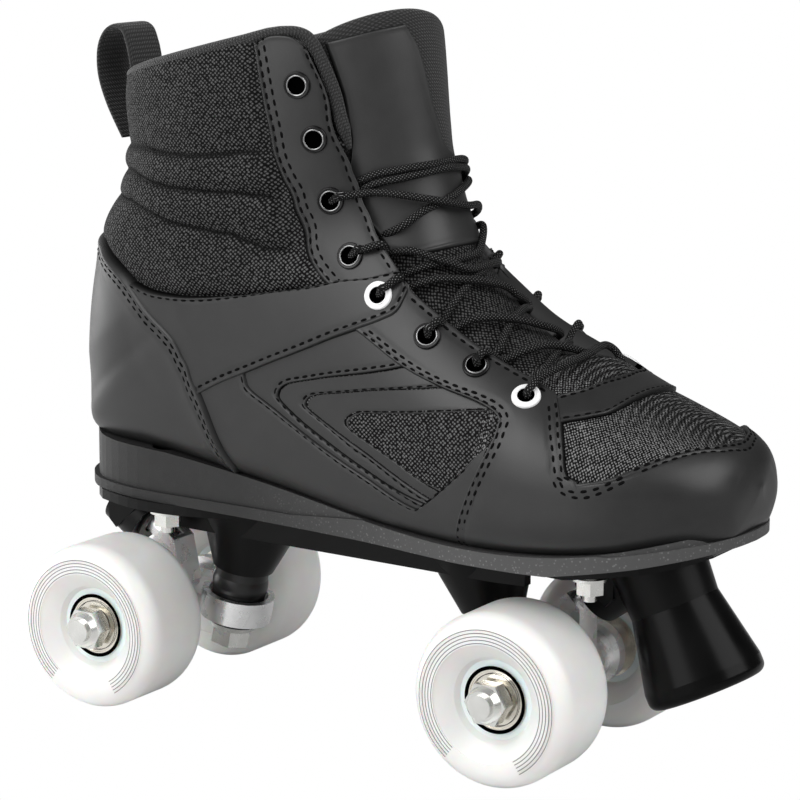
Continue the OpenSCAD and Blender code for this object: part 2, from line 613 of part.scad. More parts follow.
// Closed rings for the forefoot, open at the rear end
module vamp() {
    ts = [0.05, 0.25, 0.6, 1, 1.5, 2, 2.6, 3.3, 4, 4.7, toe_station];
    angles = [for (j = [0:around - 1]) j * 360 / around];
    inner_ts = [for (t = ts) max(t, 0.55)];
    outer = [for (t = ts) [for (a = angles) boot_point(t, a, 0)]];
    inner = [for (t = inner_ts) [for (a = angles) boot_point(t, a, -upper_t)]];
    rows = len(ts);
    n = rows * around;
    skin = [for (i = [0:rows - 2], j = [0:around - 1])
        let (a = i * around + j, b = i * around + (j + 1) % around)
        each [[a, b, b + around], [a, b + around, a + around]]];
    wall = [for (f = skin) [f[0] + n, f[2] + n, f[1] + n]];
    cap = [[for (j = [around - 1:-1:0]) j], [for (j = [0:around - 1]) n + j]];
    end = [for (j = [0:around - 1])
        let (a = (rows - 1) * around + j, b = (rows - 1) * around + (j + 1) % around)
        each [[a, b, b + n], [a, b + n, a + n]]];
    color("#1e1e1e") placed() polyhedron(concat([for (r = outer) each r], [for (r = inner) each r]),
        concat(skin, wall, cap, end));
}
// Open rings for the heel, ankle and collar, with the throat between their front edges
module quarters() {
    ts = [toe_station + 0.03, 5.9, 6.5, 7.1, 7.7, 8.3, 8.8, 9.3, 9.7, 10.1, 10.5, 10.8, 11.1, 11.5, 12, 12.5,
        13, 13.4, 13.8, 14.2, 14.6, 15, 15.4, 15.8, 16.2, 16.6, 17];
    ring = function (t, off) [for (j = [0:around])
        let (edge = throat_at(t), a = edge + (360 - 2 * edge) * j / around, turn = a > 180 ? a - 360 : a)
        boot_point(t, turn, off + (off == 0 ? ankle_roll(t, turn) : 0))];
    color("#1e1e1e") placed() slab([for (t = ts) ring(t, 0)], [for (t = ts) ring(t, -upper_t)]);
}

// Leather panels: edges as [station, angle] on one side of the boot
piped_edge = [[10.2, 129], [9.75, 96], [8.97, 60.5], [8.45, 46], [8.5, 37.5]];
ankle_seam = [[12.9, 139.8], [11.95, 106], [10.67, 65], [9.73, 48], [9.25, 33]];
feather_edge = [[9.5, 150], [8.4, 139], [7.5, 131], [6.6, 123]];
module heel_counter() {
    low = concat([[9.6, 150]], [[10.1, 155], [10.7, 160], [11.05, 164], [11.15, 180], [11.05, 196]],
        [[10.7, 200], [10.1, 205], [9.6, 210]]);
    rising = [[9.85, 137.5], [10.3, 129], [10.65, 122.5], [11.2, 118.5], [12.15, 128.5], [12.95, 142],
        [13.7, 156]];
    high = concat(rising, [[14.15, 180]], [for (i = [6:-1:0]) [rising[i][0], 360 - rising[i][1]]]);
    color("#202020") placed()
        panel(low, high, [[9.6, 150], [9.85, 137.5]], [[9.6, 210], [9.85, 222.5]], 32, 8, 1, 2 * panel_lift);
}
module ankle_panel(side) {
    near = [[10.28, 127.8], [10.65, 119.5], [11.2, 114.8], [12.1, 125.5], [12.9, 139.8]];
    low = concat([near[0]], [for (i = [1:4]) piped_edge[i]]);
    far = [[8.5, 37.5], [8.9, 34.5], [9.25, 33]];
    color("#202020") placed() panel(low, ankle_seam, near, far, 18, 6, side);
}
module eyestay(side) {
    rear = [[9.75, 45], [10.5, 39], [11.3, 33.5], [13.1, 41], [15.2, 60], [16.5, 70]];
    front = [[9.4, 31.5], [9.9, 27], [11.6, 21.3], [13.4, 26.8], [14.4, 33.8], [16.2, 46]];
    far = [[16.5, 70], [16.85, 58], [16.2, 46]];
    color("#202020") placed() panel(rear, front, [[9.75, 45], [9.4, 31.5]], far, 18, 4, side);
}
module facing(side) {
    low = [[8.85, 60], [8.1, 59.5], [7.19, 60.5], [6.34, 61.5], [5.75, 65], [5.32, 68]];
    high = [[8.4, 41.5], [7.7, 38.5], [6.6, 39], [5.75, 42], [5.42, 44]];
    near = [[8.85, 60], [8.5, 49], [8.4, 41.5]];
    far = [[5.32, 68], [5.25, 57], [5.42, 44]];
    color("#202020") placed() panel(low, high, near, far, 12, 4, side);
}
module side_panel(side) {
    outer = [[9.6, 149], [9.85, 137], [10.12, 131.5], [9.62, 98], [8.83, 63], [8.1, 62], [7.2, 63],
        [6.35, 64], [5.95, 68], [5.85, 74], [6.0, 85], [6.3, 105], [6.65, 123], [7.5, 130],
        [8.4, 138], [9.6, 149]];
    window = [[8.1, 107], [8.25, 105], [8.4, 101.5], [8.25, 97], [7.9, 88], [7.4, 79], [6.9, 72.5], [6.4, 68],
        [6.25, 69], [6.2, 75], [6.3, 84], [6.5, 95], [6.8, 105], [7.0, 108.5], [7.4, 107.5], [8.1, 107]];
    n = 30;
    nr = 3;
    grid = [for (i = [0:n - 1]) [for (j = [0:nr])
        let (s = i * 15 / n) spline(window, s) * (1 - j / nr) + spline(outer, s) * j / nr]];
    top = [for (row = grid) [for (p = row) boot_point(p[0], side * p[1], panel_lift + leather_t)]];
    under = [for (row = grid) [for (p = row) boot_point(p[0], side * p[1], panel_lift)]];
    color("#202020") placed() if (side < 0) slab(top, under, true); else slab(under, top, true);
}
// Two raised chevron bands on the side panel
module side_bands(side) {
    lift = panel_lift + leather_t + soft_gap;
    bands = [
        [[7.0, 116], [8.7, 118], [9.7, 116], [9.85, 110], [9.35, 91], [8.6, 72], [8.1, 65]],
        [[7.0, 113], [8.35, 113.5], [9.3, 111], [9.4, 107.5], [8.85, 86], [8.0, 66.5], [7.75, 64]],
        [[6.9, 111], [8.1, 110.5], [8.95, 107.5], [9.0, 104.5], [8.3, 83], [7.35, 66.5], [7.05, 65]],
        [[6.85, 109], [7.8, 108], [8.45, 104], [8.5, 101], [7.95, 86], [7.0, 70], [6.5, 66.5]]
    ];
    color("#242424") placed() for (k = [0, 2]) {
        low = bands[k];
        high = bands[k + 1];
        panel(low, high, [low[0], high[0]], [low[6], high[6]], 20, 1, side, lift);
    }
}
module toe_cap() {
    // Reach of the cap from the toe's tip at each angle
    reach = [[0, 2], [30, 2.1], [58, 2.75], [70, 3.2], [80, 3.5], [88, 3.95], [111, 3.95],
        [114, 3.2], [118.5, 2.2], [137, 1.2], [180, 0.5]];
    n = 36;
    angles = [for (i = [0:n - 1]) -180 + i * 360 / n];
    grid = [for (a = angles) [for (j = [0:6]) [0.05 + (lookup(abs(a), reach) - 0.05) * (j / 6) ^ 1.2, a]]];
    lift = 2 * panel_lift;
    top = [for (row = grid) [for (p = row) boot_point(p[0], p[1], lift + leather_t)]];
    under = [for (row = grid) [for (p = row) boot_point(p[0], p[1], lift)]];
    color("#202020") placed() slab(top, under, true);
}
module foxing(side) {
    low = [[6.55, 122], [5.8, 118.5], [5, 115.5], [4.05, 113]];
    high = [[5.7, 68], [5.35, 72], [4.95, 79.5], [4.7, 87.5], [4.4, 90], [4.05, 89.5]];
    near = [[6.55, 122], [6.2, 105], [5.85, 85], [5.7, 68]];
    color("#202020") placed() panel(low, high, near, [[4.05, 113], [4.05, 89.5]], 8, 5, side);
}
module vamp_bar() {
    rear = [[5.1, -54], [5.0, -36], [4.86, 0], [5.0, 36], [5.1, 54]];
    front = [[4.9, -58], [4.45, -44], [4.3, 0], [4.45, 44], [4.9, 58]];
    color("#202020") placed()
        panel(rear, front, [rear[0], front[0]], [rear[4], front[4]], 16, 2, -1, panel_lift, true);
}

// Padded tongue behind the laces: crowned in the middle, thin at its edges under the eyestays
tongue_crown = [[5, 2.2], [8, 2.8], [10, 5.6], [11, 6.8], [17, 7.4]];
tongue_sink = upper_t + lace_d + 6 * soft_gap;
tongue_flat = 0.64;
function crown_at(t) = lookup(t, tongue_crown);
function tongue_off(t, f) = -tongue_sink + crown_at(t) * max(0, 1 - (f / tongue_flat) ^ 2);
module tongue() {
    ts = [for (i = [0:20]) 5 + 11.65 * i / 20];
    cols = 16;
    outer = [for (t = ts) [for (j = [0:cols])
        let (f = 2 * j / cols - 1) boot_point(t, f * (throat_at(t) + 9), tongue_off(t, f))]];
    inner = [for (t = ts) [for (j = [0:cols])
        let (f = 2 * j / cols - 1, pad = 2.5 + 2.5 * (1 - f * f))
        boot_point(t, f * (throat_at(t) + 9), tongue_off(t, f) - pad)]];
    color("#1a1a1a") placed() slab(inner, outer);
}

// Eyelets along both eyestays: station and angle of each, counted from the top
eyelets = [[15.46, 49.2], [13.93, 38], [11.8, 28.2], [10.01, 35.9], [8.93, 45.3], [7.68, 47.9], [6.61, 48.2],
    [5.59, 53.5]];
white_eyelets = [4, 7];
eyelet_seat = 0.6;
eyelet_h = 1.2;
module at_boot(t, angle, off = 0) {
    p = boot_point(t, angle, off);
    d = boot_normal(t, angle);
    translate(p) rotate([0, acos(d[2]), atan2(d[1], d[0])]) children();
}
module eyelet_row(list) {
    placed() for (k = list, side = [-1, 1])
        at_boot(eyelets[k][0], side * eyelets[k][1], panel_lift + leather_t + eyelet_seat) difference() {
            cylinder(d1 = eyelet_d, d2 = eyelet_d - 2, h = eyelet_h);
            translate([0, 0, -1]) cylinder(d = eyelet_hole_d, h = eyelet_h + 2);
        }
}
module eyelets_black() {
    color("#303030") eyelet_row([0, 1, 2, 3, 5, 6]);
}
module eyelets_white() {
    color("white") eyelet_row(white_eyelets);
}

// Woven binding round the collar's rim
module collar_binding() {
    r = upper_t / 2 + 0.8;
    path = [for (i = [0:28]) boot_point(17, 62 + (298 - 62) * i / 28, -upper_t / 2)];
    up = boot_point(17, 180, 0) - boot_point(16.9, 180, 0);
    rise = up / norm(up);
    rings = [for (i = [0:28])
        let (d = path[min(28, i + 1)] - path[max(0, i - 1)], out = cross(d / norm(d), rise))
        [for (k = [0:7]) path[i] + (r + soft_gap) * rise + r * (cos(45 * k) * rise + sin(45 * k) * out)]];
    color("#181818") placed() swept(rings);
}
// Closed tube from a list of rings
module swept(rings) {
    n = len(rings);
    m = len(rings[0]);
    side_faces = [for (i = [0:n - 2], k = [0:m - 1])
        let (a = i * m + k, b = i * m + (k + 1) % m) each [[a, b, b + m], [a, b + m, a + m]]];
    polyhedron([for (r = rings) each r],
        concat(side_faces, [[for (k = [m - 1:-1:0]) k], [for (k = [0:m - 1]) (n - 1) * m + k]]));
}

// Webbing loop standing at the back of the collar, in side view
module pull_loop() {
    c = boot_point(17, 180, 0);
    back = boot_point(16.1, 180, roll_h);
    path = [[back[0] - 0.8, back[2] - 1], [c[0] - 8.5, c[2] - 7], [c[0] - 12.5, c[2] + 4],
        [c[0] - 8, c[2] + 14], [c[0] + 1.5, c[2] + 15], [c[0] + 6.5, c[2] + 9], [c[0] + 8.2, c[2] + 5]];
    line = curve(path, 18);
    n = len(line);
    edge = function (s) [for (i = [0:n - 1])
        let (d = line[min(n - 1, i + 1)] - line[max(0, i - 1)])
        line[i] + s * loop_t / 2 * [-d[1], d[0]] / norm(d)];
    color("#161616") placed() rotate([90, 0, 0]) linear_extrude(loop_w, center = true)
        polygon(concat(edge(1), [for (i = [n - 1:-1:0]) edge(-1)[i]]));
}

// Lace: a bar over the lowest eyelets, crossings up to the third pair, two strands tucked in on top.
// Heights are measured from the boot's surface: over an eyestay, under it, or along the tongue.
lace_r = lace_d / 2;
lace_over = panel_lift + leather_t + lace_r + 0.4;
lace_ring_top = lace_over + eyelet_seat + eyelet_h + 0.3;
lace_under = -upper_t - lace_r - 0.4;
function lace_low(t) = -tongue_sink + crown_at(t) + lace_r + 1.3;
function lace_high(t) = lace_low(t) + lace_d + 0.4;
module lace() {
    color("#101010") placed() {
        lace_bar();
        for (k = [2:6], side = [-1, 1]) lace_strand(k, side);
        for (t = [11.5, 11.9]) lace_top(t);
    }
}
function lace_section(path, i) =
    let (n = len(path), d = path[min(n - 1, i + 1)] - path[max(0, i - 1)], t = d / norm(d))
    let (side = cross(t, [0.6, 0, 0.8]), u = side / norm(side), v = cross(u, t))
    [for (k = [0:5]) path[i] + lace_r * (cos(60 * k) * u + sin(60 * k) * v)];
module lace_tube(points) {
    path = curve(points, 3 * (len(points) - 1));
    swept([for (i = [0:len(path) - 1]) lace_section(path, i)]);
}
// One strand from an eyelet, over its own edge, across the tongue and under the far edge lower down
module lace_strand(k, side) {
    t0 = eyelets[k][0];
    t1 = eyelets[k + 1][0] + 0.05;
    tm = (t0 + t1) / 2;
    mid = side > 0 ? lace_low(tm) : lace_high(tm);
    edge = throat_at(t0);
    lace_tube([
        boot_point(t0, side * eyelets[k][1], lace_ring_top),
        boot_point(t0, side * (edge + 2), lace_ring_top),
        boot_point(t0 + (t1 - t0) * 0.28, side * edge * 0.5, max(0, mid)),
        boot_point(tm, 0, mid),
        boot_point(t0 + (t1 - t0) * 0.75, -side * throat_at(t1) * 0.5, lace_low(t1) - 0.1 * crown_at(t1)),
        boot_point(t1, -side * (throat_at(t1) - 2), lace_under),
        boot_point(t1 - 0.05, -side * (throat_at(t1) + 4), lace_under)
    ]);
}
module lace_bar() {
    e = eyelets[7];
    lace_tube([for (f = [-1, -0.8, -0.5, 0, 0.5, 0.8, 1]) boot_point(e[0] - 0.12, f * e[1], lace_ring_top)]);
}
module lace_top(t) {
    lace_tube([for (f = [-1.16, -0.95, -0.5, 0, 0.5, 0.95, 1.16])
        boot_point(t, f * throat_at(t), abs(f) > 0.9 ? lace_under : lace_low(t) - 0.4 * f * f)]);
}

wheel(1, -1);  // wheel_fr
wheel(1, 1);  // wheel_fl
wheel(-1, -1);  // wheel_rr
wheel(-1, 1);  // wheel_rl
bearing_outer_rings(1, -1);  // bearing_outer_rings_fr
bearing_outer_rings(1, 1);  // bearing_outer_rings_fl
bearing_outer_rings(-1, -1);  // bearing_outer_rings_rr
bearing_outer_rings(-1, 1);  // bearing_outer_rings_rl
bearing_balls(1, -1);  // bearing_balls_fr
bearing_balls(1, 1);  // bearing_balls_fl
bearing_balls(-1, -1);  // bearing_balls_rr
bearing_balls(-1, 1);  // bearing_balls_rl
bearing_inner_rings(1);  // front_bearing_inner_rings
bearing_inner_rings(-1);  // rear_bearing_inner_rings
bearing_spacers(1);  // front_bearing_spacers
bearing_spacers(-1);  // rear_bearing_spacers
hanger(1);  // front_hanger
hanger(-1);  // rear_hanger
axle(1);  // front_axle
axle(-1);  // rear_axle
axle_nuts(1);  // front_axle_nuts
axle_nuts(-1);  // rear_axle_nuts
kingpin(1);  // front_kingpin
kingpin(-1);  // rear_kingpin
kingpin_washer(1);  // front_kingpin_washer
kingpin_washer(-1);  // rear_kingpin_washer
upper_cushion(1);  // front_upper_cushion
upper_cushion(-1);  // rear_upper_cushion
lower_cushion(1);  // front_lower_cushion
lower_cushion(-1);  // rear_lower_cushion
pivot_cup(1);  // front_pivot_cup
pivot_cup(-1);  // rear_pivot_cup
plate();
plate_bolts();
plate_nuts();
toe_stop();
toe_stop_bolt();
sole();
insole();
vamp();
quarters();
heel_counter();
ankle_panel(-1);  // ankle_panel_right
ankle_panel(1);  // ankle_panel_left
eyestay(-1);  // eyestay_right
eyestay(1);  // eyestay_left
facing(-1);  // facing_right
facing(1);  // facing_left
side_panel(-1);  // side_panel_right
side_panel(1);  // side_panel_left
for (side = [-1, 1]) side_bands(side);
toe_cap();
for (side = [-1, 1]) foxing(side);
vamp_bar();
tongue();
eyelets_black();
eyelets_white();
collar_binding();
pull_loop();
lace();
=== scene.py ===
import bpy
import numpy as np
from mathutils import Matrix


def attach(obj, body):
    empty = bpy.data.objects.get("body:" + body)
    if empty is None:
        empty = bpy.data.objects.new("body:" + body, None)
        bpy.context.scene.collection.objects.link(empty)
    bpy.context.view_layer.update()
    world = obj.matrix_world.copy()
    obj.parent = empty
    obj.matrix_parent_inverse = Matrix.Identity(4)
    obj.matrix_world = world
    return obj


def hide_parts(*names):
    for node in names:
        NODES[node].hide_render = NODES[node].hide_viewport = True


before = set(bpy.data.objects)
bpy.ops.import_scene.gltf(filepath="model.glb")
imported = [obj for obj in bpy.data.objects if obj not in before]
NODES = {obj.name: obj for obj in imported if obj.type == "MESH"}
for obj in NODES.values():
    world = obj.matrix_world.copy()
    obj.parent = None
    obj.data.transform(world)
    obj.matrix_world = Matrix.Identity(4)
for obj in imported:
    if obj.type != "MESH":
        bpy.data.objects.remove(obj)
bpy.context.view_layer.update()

# Frame and boot surface, in mm
MM = 0.001
MID_X = 19.265  # the boot is drawn from mid-wheelbase, which lies this far behind the frame's origin
BOOT_DROP = 0.3  # how far the boot is set down on to the sole
SIDES = {-1: "right", 1: "left"}

# One row for each section of the boot: top x z, bottom x z, half width, centre, upper and lower roundness
STATIONS = np.array([
    [148.5, 98, 148.5, 98, .5, .55, 2.2, 2.2], [146.6, 107, 146.6, 91, 14.5, .55, 2.2, 2.6],
    [141, 112.5, 141, 87, 25.5, .56, 2.2, 3.2], [130, 117, 130, 84, 35, .57, 2.2, 4],
    [114, 122.5, 114, 80.5, 42.5, .58, 2.2, 5], [95, 130, 95, 78, 46, .6, 2.1, 5.5],
    [75, 139.5, 73, 76.5, 46, .6, 2, 5.5], [58.5, 150, 50, 76.5, 43.5, .6, 2, 5.5],
    [46.5, 163, 20, 79, 40.5, .58, 2.1, 5.5], [39.5, 175, -18, 85, 38, .56, 2.2, 5],
    [35, 185, -62, 90.5, 36.5, .54, 2.2, 4.5], [32.2, 193, -104, 93.5, 36, .52, 2.3, 3.2],
    [30.2, 200, -110, 110, 36.5, .52, 2.3, 2.5], [29, 207, -109.5, 134, 37, .5, 2.3, 2.3],
    [27.8, 215, -104, 157, 37.5, .5, 2.3, 2.3], [26.4, 225, -94, 180, 38, .5, 2.3, 2.3],
    [24.8, 236, -92, 201, 38.5, .5, 2.3, 2.3], [22.5, 248, -90, 217, 38, .5, 2.3, 2.3]])
LEAST_SPAN, LEAST_WIDTH = .6, .3  # so that the section at the tip doesn't close
# Half angle of the lace opening at each station
THROAT = np.array([
    [5.35, 42], [6.6, 37.5], [7.7, 37], [8.9, 33], [9.8, 26.6], [11.6, 20.2], [13.4, 25.7], [14.4, 32.7],
    [16.3, 44.3], [17, 49]])
# Feather line: angle at each station where the leather turns under, on to the sole
FEATHER = np.array([
    [.8, 192], [1.2, 189], [1.5, 182], [1.8, 173], [2.1, 162], [2.6, 149], [3.7, 134.5], [5, 130.5],
    [6.2, 135.5], [7, 141.5], [7.5, 146], [8.3, 155], [9.5, 167.5], [10, 172.5], [10.8, 180], [11.05, 188],
    [11.3, 198]])
# How far the leather is drawn in at each station, in mm: behind the heel, and over the toe
HEEL_IN = np.array([
    [9.3, 0], [10.2, 1.4], [10.9, 3.2], [11.5, 3.8], [11.9, 2.7], [12.3, 1.8], [14, 1.4], [14.8, 1.5],
    [15.2, 2.1], [15.9, 2.1], [16.5, .6], [17, 0]])
TOE_IN = np.array([[0, .8], [.5, 1.1], [1, 1.6], [2, 1.3], [4.6, 1.2], [5.4, 0]])
# Where that starts and the width of the change: angle at the heel, angle at the toe, station at the tip
HEEL_FADE, TOE_FADE, TIP_FADE = (105, 35), (110, -40), (1.2, -.9)
TIP_REACH = 2.5  # stations over which a height over the tip also moves it forward
# The upper's lower edge at each station: mm drawn down to the sole, mm spread out, angle where that starts
DRAW_DOWN = np.array([
    [0, 0, 0, 90], [.4, 2, 0, 92], [1, 2.8, 0, 95], [1.6, 3.6, 1.3, 102], [2.2, 4.4, 3.2, 106],
    [3, 4.2, 3.8, 107], [3.7, 3.4, 2.8, 106], [4.3, 2.6, 1.5, 106], [5, 1.6, .7, 106], [7, 1.5, .4, 116],
    [8.3, 2.4, .4, 128], [9.5, 3.6, .7, 136], [10.5, 4.2, 1, 142], [11.2, 4.6, .9, 144],
    [11.7, 3.2, .3, 146], [12.2, 1.2, 0, 150], [12.8, 0, 0, 155]])
DRAW_OVER = 35  # degrees over which it sets in


def spline(rows, t):
    """Cubic through rows at whole values of t, with each tangent half the chord of its neighbours."""
    rows, t = np.asarray(rows, float), np.asarray(t, float)
    last = len(rows) - 1
    i = np.clip(np.floor(t).astype(int), 0, last - 1)
    f = (t - i)[..., None]
    p0, p1, p2, p3 = (rows[np.clip(i + k, 0, last)] for k in (-1, 0, 1, 2))
    m1, m2 = (p2 - p0) / 2, (p3 - p1) / 2
    return ((2 * f**3 - 3 * f**2 + 1) * p1 + (f**3 - 2 * f**2 + f) * m1 + (3 * f**2 - 2 * f**3) * p2
            + (f**3 - f**2) * m2)


def curve(rows, n):
    """n points along the spline through rows, evenly spaced by row number."""
    return spline(rows, np.linspace(0, len(rows) - 1, n))


def share(v, start, width):
    """Share from 0 to 1 as v goes from start across a width, which is negative where v falls."""
    return np.clip((v - start) / width, 0, 1)


def smooth(f):
    """Share from 0 to 1 eased at both ends."""
    return f * f * (3 - 2 * f)


def unit(v):
    """Vectors v brought to length 1."""
    return v / np.linalg.norm(v, axis=-1, keepdims=True)


def around(n):
    """n even angles round a full turn, in radians."""
    return np.linspace(0, 2 * np.pi, n, endpoint=False)


def boot(t, angle, off=0.0):
    """Boot surface: station t, angle in degrees from the top line, positive to the left, off mm outward.
    Each section is a superellipse whose upper and lower halves have their own depth and roundness, drawn in
    a little behind the heel and over the toe, and drawn down to the sole along its lower edge."""
    t, angle, off = np.broadcast_arrays(*(np.asarray(v, float) for v in (t, angle, off)))
    turn = np.abs((angle + 180) % 360 - 180)
    over_toe = 1 - (1 - smooth(share(turn, *TOE_FADE))) * (1 - smooth(share(t, *TIP_FADE)))
    down, spread, sets_in = (np.interp(t, DRAW_DOWN[:, 0], DRAW_DOWN[:, k]) for k in (1, 2, 3))
    drawn = smooth(share(turn, sets_in, DRAW_OVER))
    off = off - np.interp(t, *HEEL_IN.T) * share(turn, *HEEL_FADE) - np.interp(t, *TOE_IN.T) * over_toe
    off = off + spread * drawn
    s = spline(STATIONS, t)
    top, low, middle = s[..., 0:2], s[..., 2:4], s[..., 5]
    span = np.maximum(np.linalg.norm(top - low, axis=-1), LEAST_SPAN)
    axis = (top - low) / span[..., None]
    centre = top + (low - top) * middle[..., None]
    wide = np.maximum(s[..., 4], LEAST_WIDTH) + off
    c, d = np.cos(np.radians(angle)), np.sin(np.radians(angle))
    deep = span * np.where(c >= 0, middle, 1 - middle) + off
    power = np.where(c >= 0, s[..., 6], s[..., 7])
    r = (np.abs(c / deep)**power + np.abs(d / wide)**power)**(-1 / power)
    tip = off * np.maximum(0, 1 - t / TIP_REACH)
    return np.stack([centre[..., 0] + r * c * axis[..., 0] + tip, r * d,
                     centre[..., 1] + r * c * axis[..., 1] - BOOT_DROP - down * drawn], -1)


def throat(t):
    """Half angle of the lace opening at station t, read off its table."""
    return np.interp(t, *THROAT.T)


# Materials
MIX_FIRST, MIX_SECOND, MIX_RESULT = 6, 7, 2  # colour sockets of a Mix node
WAVE_BANDS = 3.1831  # bands that a wave texture lays along one unit at a scale of 1, which is 10 / pi
# Near black of painted shade: at leather cut edges, where it is partly the raw edge's own colour, and in
# textile valleys
CUT_EDGE_AND_SHADE_BLACK, PAINTED_SHADE_BLACK = "#030303", "#040404"


def srgb(code):
    """Linear colour of an sRGB hex code."""
    v = np.array([int(code[i:i + 2], 16) for i in (1, 3, 5)]) / 255
    return (*np.where(v <= .04045, v / 12.92, ((v + .055) / 1.055)**2.4), 1)


def add(tree, kind, links=None, **settings):
    """One shader node: settings go to its properties or inputs, links join other sockets to its inputs."""
    n = tree.nodes.new("ShaderNode" + kind)
    for key, value in settings.items():
        if hasattr(n, key):
            setattr(n, key, value)
        else:
            n.inputs[key.replace("_", " ")].default_value = value
    for key, socket in (links or {}).items():
        tree.links.new(socket, n.inputs[key])
    return n


def ramp(tree, fac, *stops):
    """Colour ramp from (place, hex) stops."""
    n = add(tree, "ValToRGB", {"Fac": fac})
    while len(n.color_ramp.elements) < len(stops):
        n.color_ramp.elements.new(.5)
    for e, (place, code) in zip(n.color_ramp.elements, stops):
        e.position, e.color = place, srgb(code)
    return n.outputs["Color"]


def level(tree, fac, low, high):
    """fac from 0 to 1 mapped to low to high."""
    return add(tree, "MapRange", {"Value": fac}, To_Min=low, To_Max=high).outputs["Result"]


def along_x(tree, place, start, end):
    """Share from 0 to 1 as the object's x goes from start to end, in metres."""
    x = add(tree, "SeparateXYZ", {"Vector": place["Object"]}).outputs["X"]
    return add(tree, "MapRange", {"Value": x}, From_Min=start, From_Max=end).outputs["Result"]


def blend(tree, fac, first, code):
    """Colour first, going over to the hex colour as fac goes from 0 to 1."""
    n = add(tree, "Mix", {"Factor": fac}, data_type="RGBA")
    tree.links.new(first, n.inputs[MIX_FIRST])
    n.inputs[MIX_SECOND].default_value = srgb(code)
    return n.outputs[MIX_RESULT]


def joined(tree, operation, first, second):
    """Sum or product of two sockets."""
    return add(tree, "Math", {0: first, 1: second}, operation=operation).outputs["Value"]


def per_mm(size):
    """Texture scale in object coordinates for a pattern of this size in mm."""
    return 1 / (size * MM)


def noise(tree, place, size, detail, **more):
    """Cloudy noise on the object with features of the given size in mm."""
    n = add(tree, "TexNoise", {"Vector": place["Object"]}, Scale=per_mm(size), Detail=detail, **more)
    return n.outputs["Fac"]


def cells(tree, vector, scale, **more):
    """Distance from the middle of the nearest cell of a cell pattern."""
    return add(tree, "TexVoronoi", {"Vector": vector}, Scale=scale, **more).outputs["Distance"]


def waves(tree, place, pitch, direction, **more):
    """Bands across the piece's own flat measure at the given pitch in mm."""
    n = add(tree, "TexWave", {"Vector": place["UV"]}, bands_direction=direction, Scale=1 / pitch / WAVE_BANDS,
            **more)
    return n.outputs["Fac"]


def turned(tree, place, degrees, across, along):
    """The piece's own flat measure in mm, turned and scaled."""
    n = add(tree, "Mapping", {"Vector": place["UV"]}, Rotation=(0, 0, np.radians(degrees)),
            Scale=(across, along, 1))
    return n.outputs["Vector"]


def valley(tree):
    """The share from 0 to 1 of painted shade that each point of the piece carries, in valleys, at joins and
    at cut edges, where it is partly the raw edge's own colour.
    """
    return add(tree, "Attribute", attribute_name="valley").outputs["Fac"]


def surface(name, **settings):
    """A new material: its node tree, its shader and its texture coordinates."""
    m = bpy.data.materials.new(name)
    m.use_nodes = True
    tree = m.node_tree
    shader = tree.nodes["Principled BSDF"]
    for key, value in settings.items():
        shader.inputs[key.replace("_", " ")].default_value = value
    return m, tree, shader, add(tree, "TexCoord").outputs


def feed(tree, shader, **sockets):
    """Joins sockets to the shader's inputs of these names."""
    for key, socket in sockets.items():
        tree.links.new(socket, shader.inputs[key.replace("_", " ")])


def bump(tree, shader, height, depth, strength):
    """Bump of the given depth in mm from a height of 0 to 1."""
    n = add(tree, "Bump", {"Height": height}, Strength=strength, Distance=depth * MM)
    feed(tree, shader, Normal=n.outputs["Normal"])


def leather_material(name, dark, light, rough):
    """Smooth synthetic leather: pebble grain of 0.5 mm, creases of 9 mm, black and dull at cut edges, partly
    the raw edge's own colour and partly painted shade.
    """
    m, tree, shader, place = surface(name)
    crease, cut = noise(tree, place, 9, 5.0, Roughness=.62), valley(tree)
    tone = ramp(tree, crease, (.25, dark), (.8, light))
    feed(tree, shader, Base_Color=blend(tree, cut, tone, CUT_EDGE_AND_SHADE_BLACK),
         Roughness=level(tree, crease, rough - .05, rough + .06),
         Specular_IOR_Level=level(tree, cut, .5, .05))
    grain = cells(tree, place["Object"], per_mm(.5))
    bump(tree, shader, joined(tree, "ADD", grain, crease), .05, .22)
    return m


def mesh_material(name, yarn, hole, cell, skew, ribs=0):
    """Open mesh textile: light yarn specks on the diagonal in cells of the given width and length in mm, with
    painted shade towards near black where the piece carries it. With ribs, that painted shade lies only on
    lines across the boot at that pitch in mm, standing for the grooves between ribs."""
    m, tree, shader, place = surface(name, Roughness=.75, Specular_IOR_Level=.12)
    dots = cells(tree, turned(tree, place, skew, 1 / cell[0], 1 / cell[1]), 1.0, voronoi_dimensions="2D",
                 Randomness=.35)
    speck = joined(tree, "ADD", dots, level(tree, noise(tree, place, 2.2, 4.0), -.18, .18))
    weave = ramp(tree, speck, (.1, yarn), (.42, hole))
    # deep: the piece's painted shade
    deep = valley(tree)
    if ribs:
        wave = waves(tree, place, ribs, "X", Distortion=1.5, Detail=2.0, Detail_Scale=.4)
        deep = joined(tree, "MULTIPLY", deep, wave)
    feed(tree, shader, Base_Color=blend(tree, deep, weave, PAINTED_SHADE_BLACK))
    bump(tree, shader, level(tree, speck, 1, 0), .3, .7)
    return m


def knit_material(name, yarn, gap, rib):
    """Ribbed knit tape: ribs across the tape at the given pitch in mm, with a twill of 0.7 mm on each rib."""
    m, tree, shader, place = surface(name, Roughness=.8, Sheen_Weight=.2)
    ribs = waves(tree, place, rib, "X", Distortion=.6, Detail=1.0)
    both = joined(tree, "MULTIPLY", ribs, waves(tree, place, .7, "DIAGONAL"))
    feed(tree, shader, Base_Color=ramp(tree, both, (0, gap), (.75, yarn)))
    bump(tree, shader, both, .3, .9)
    return m


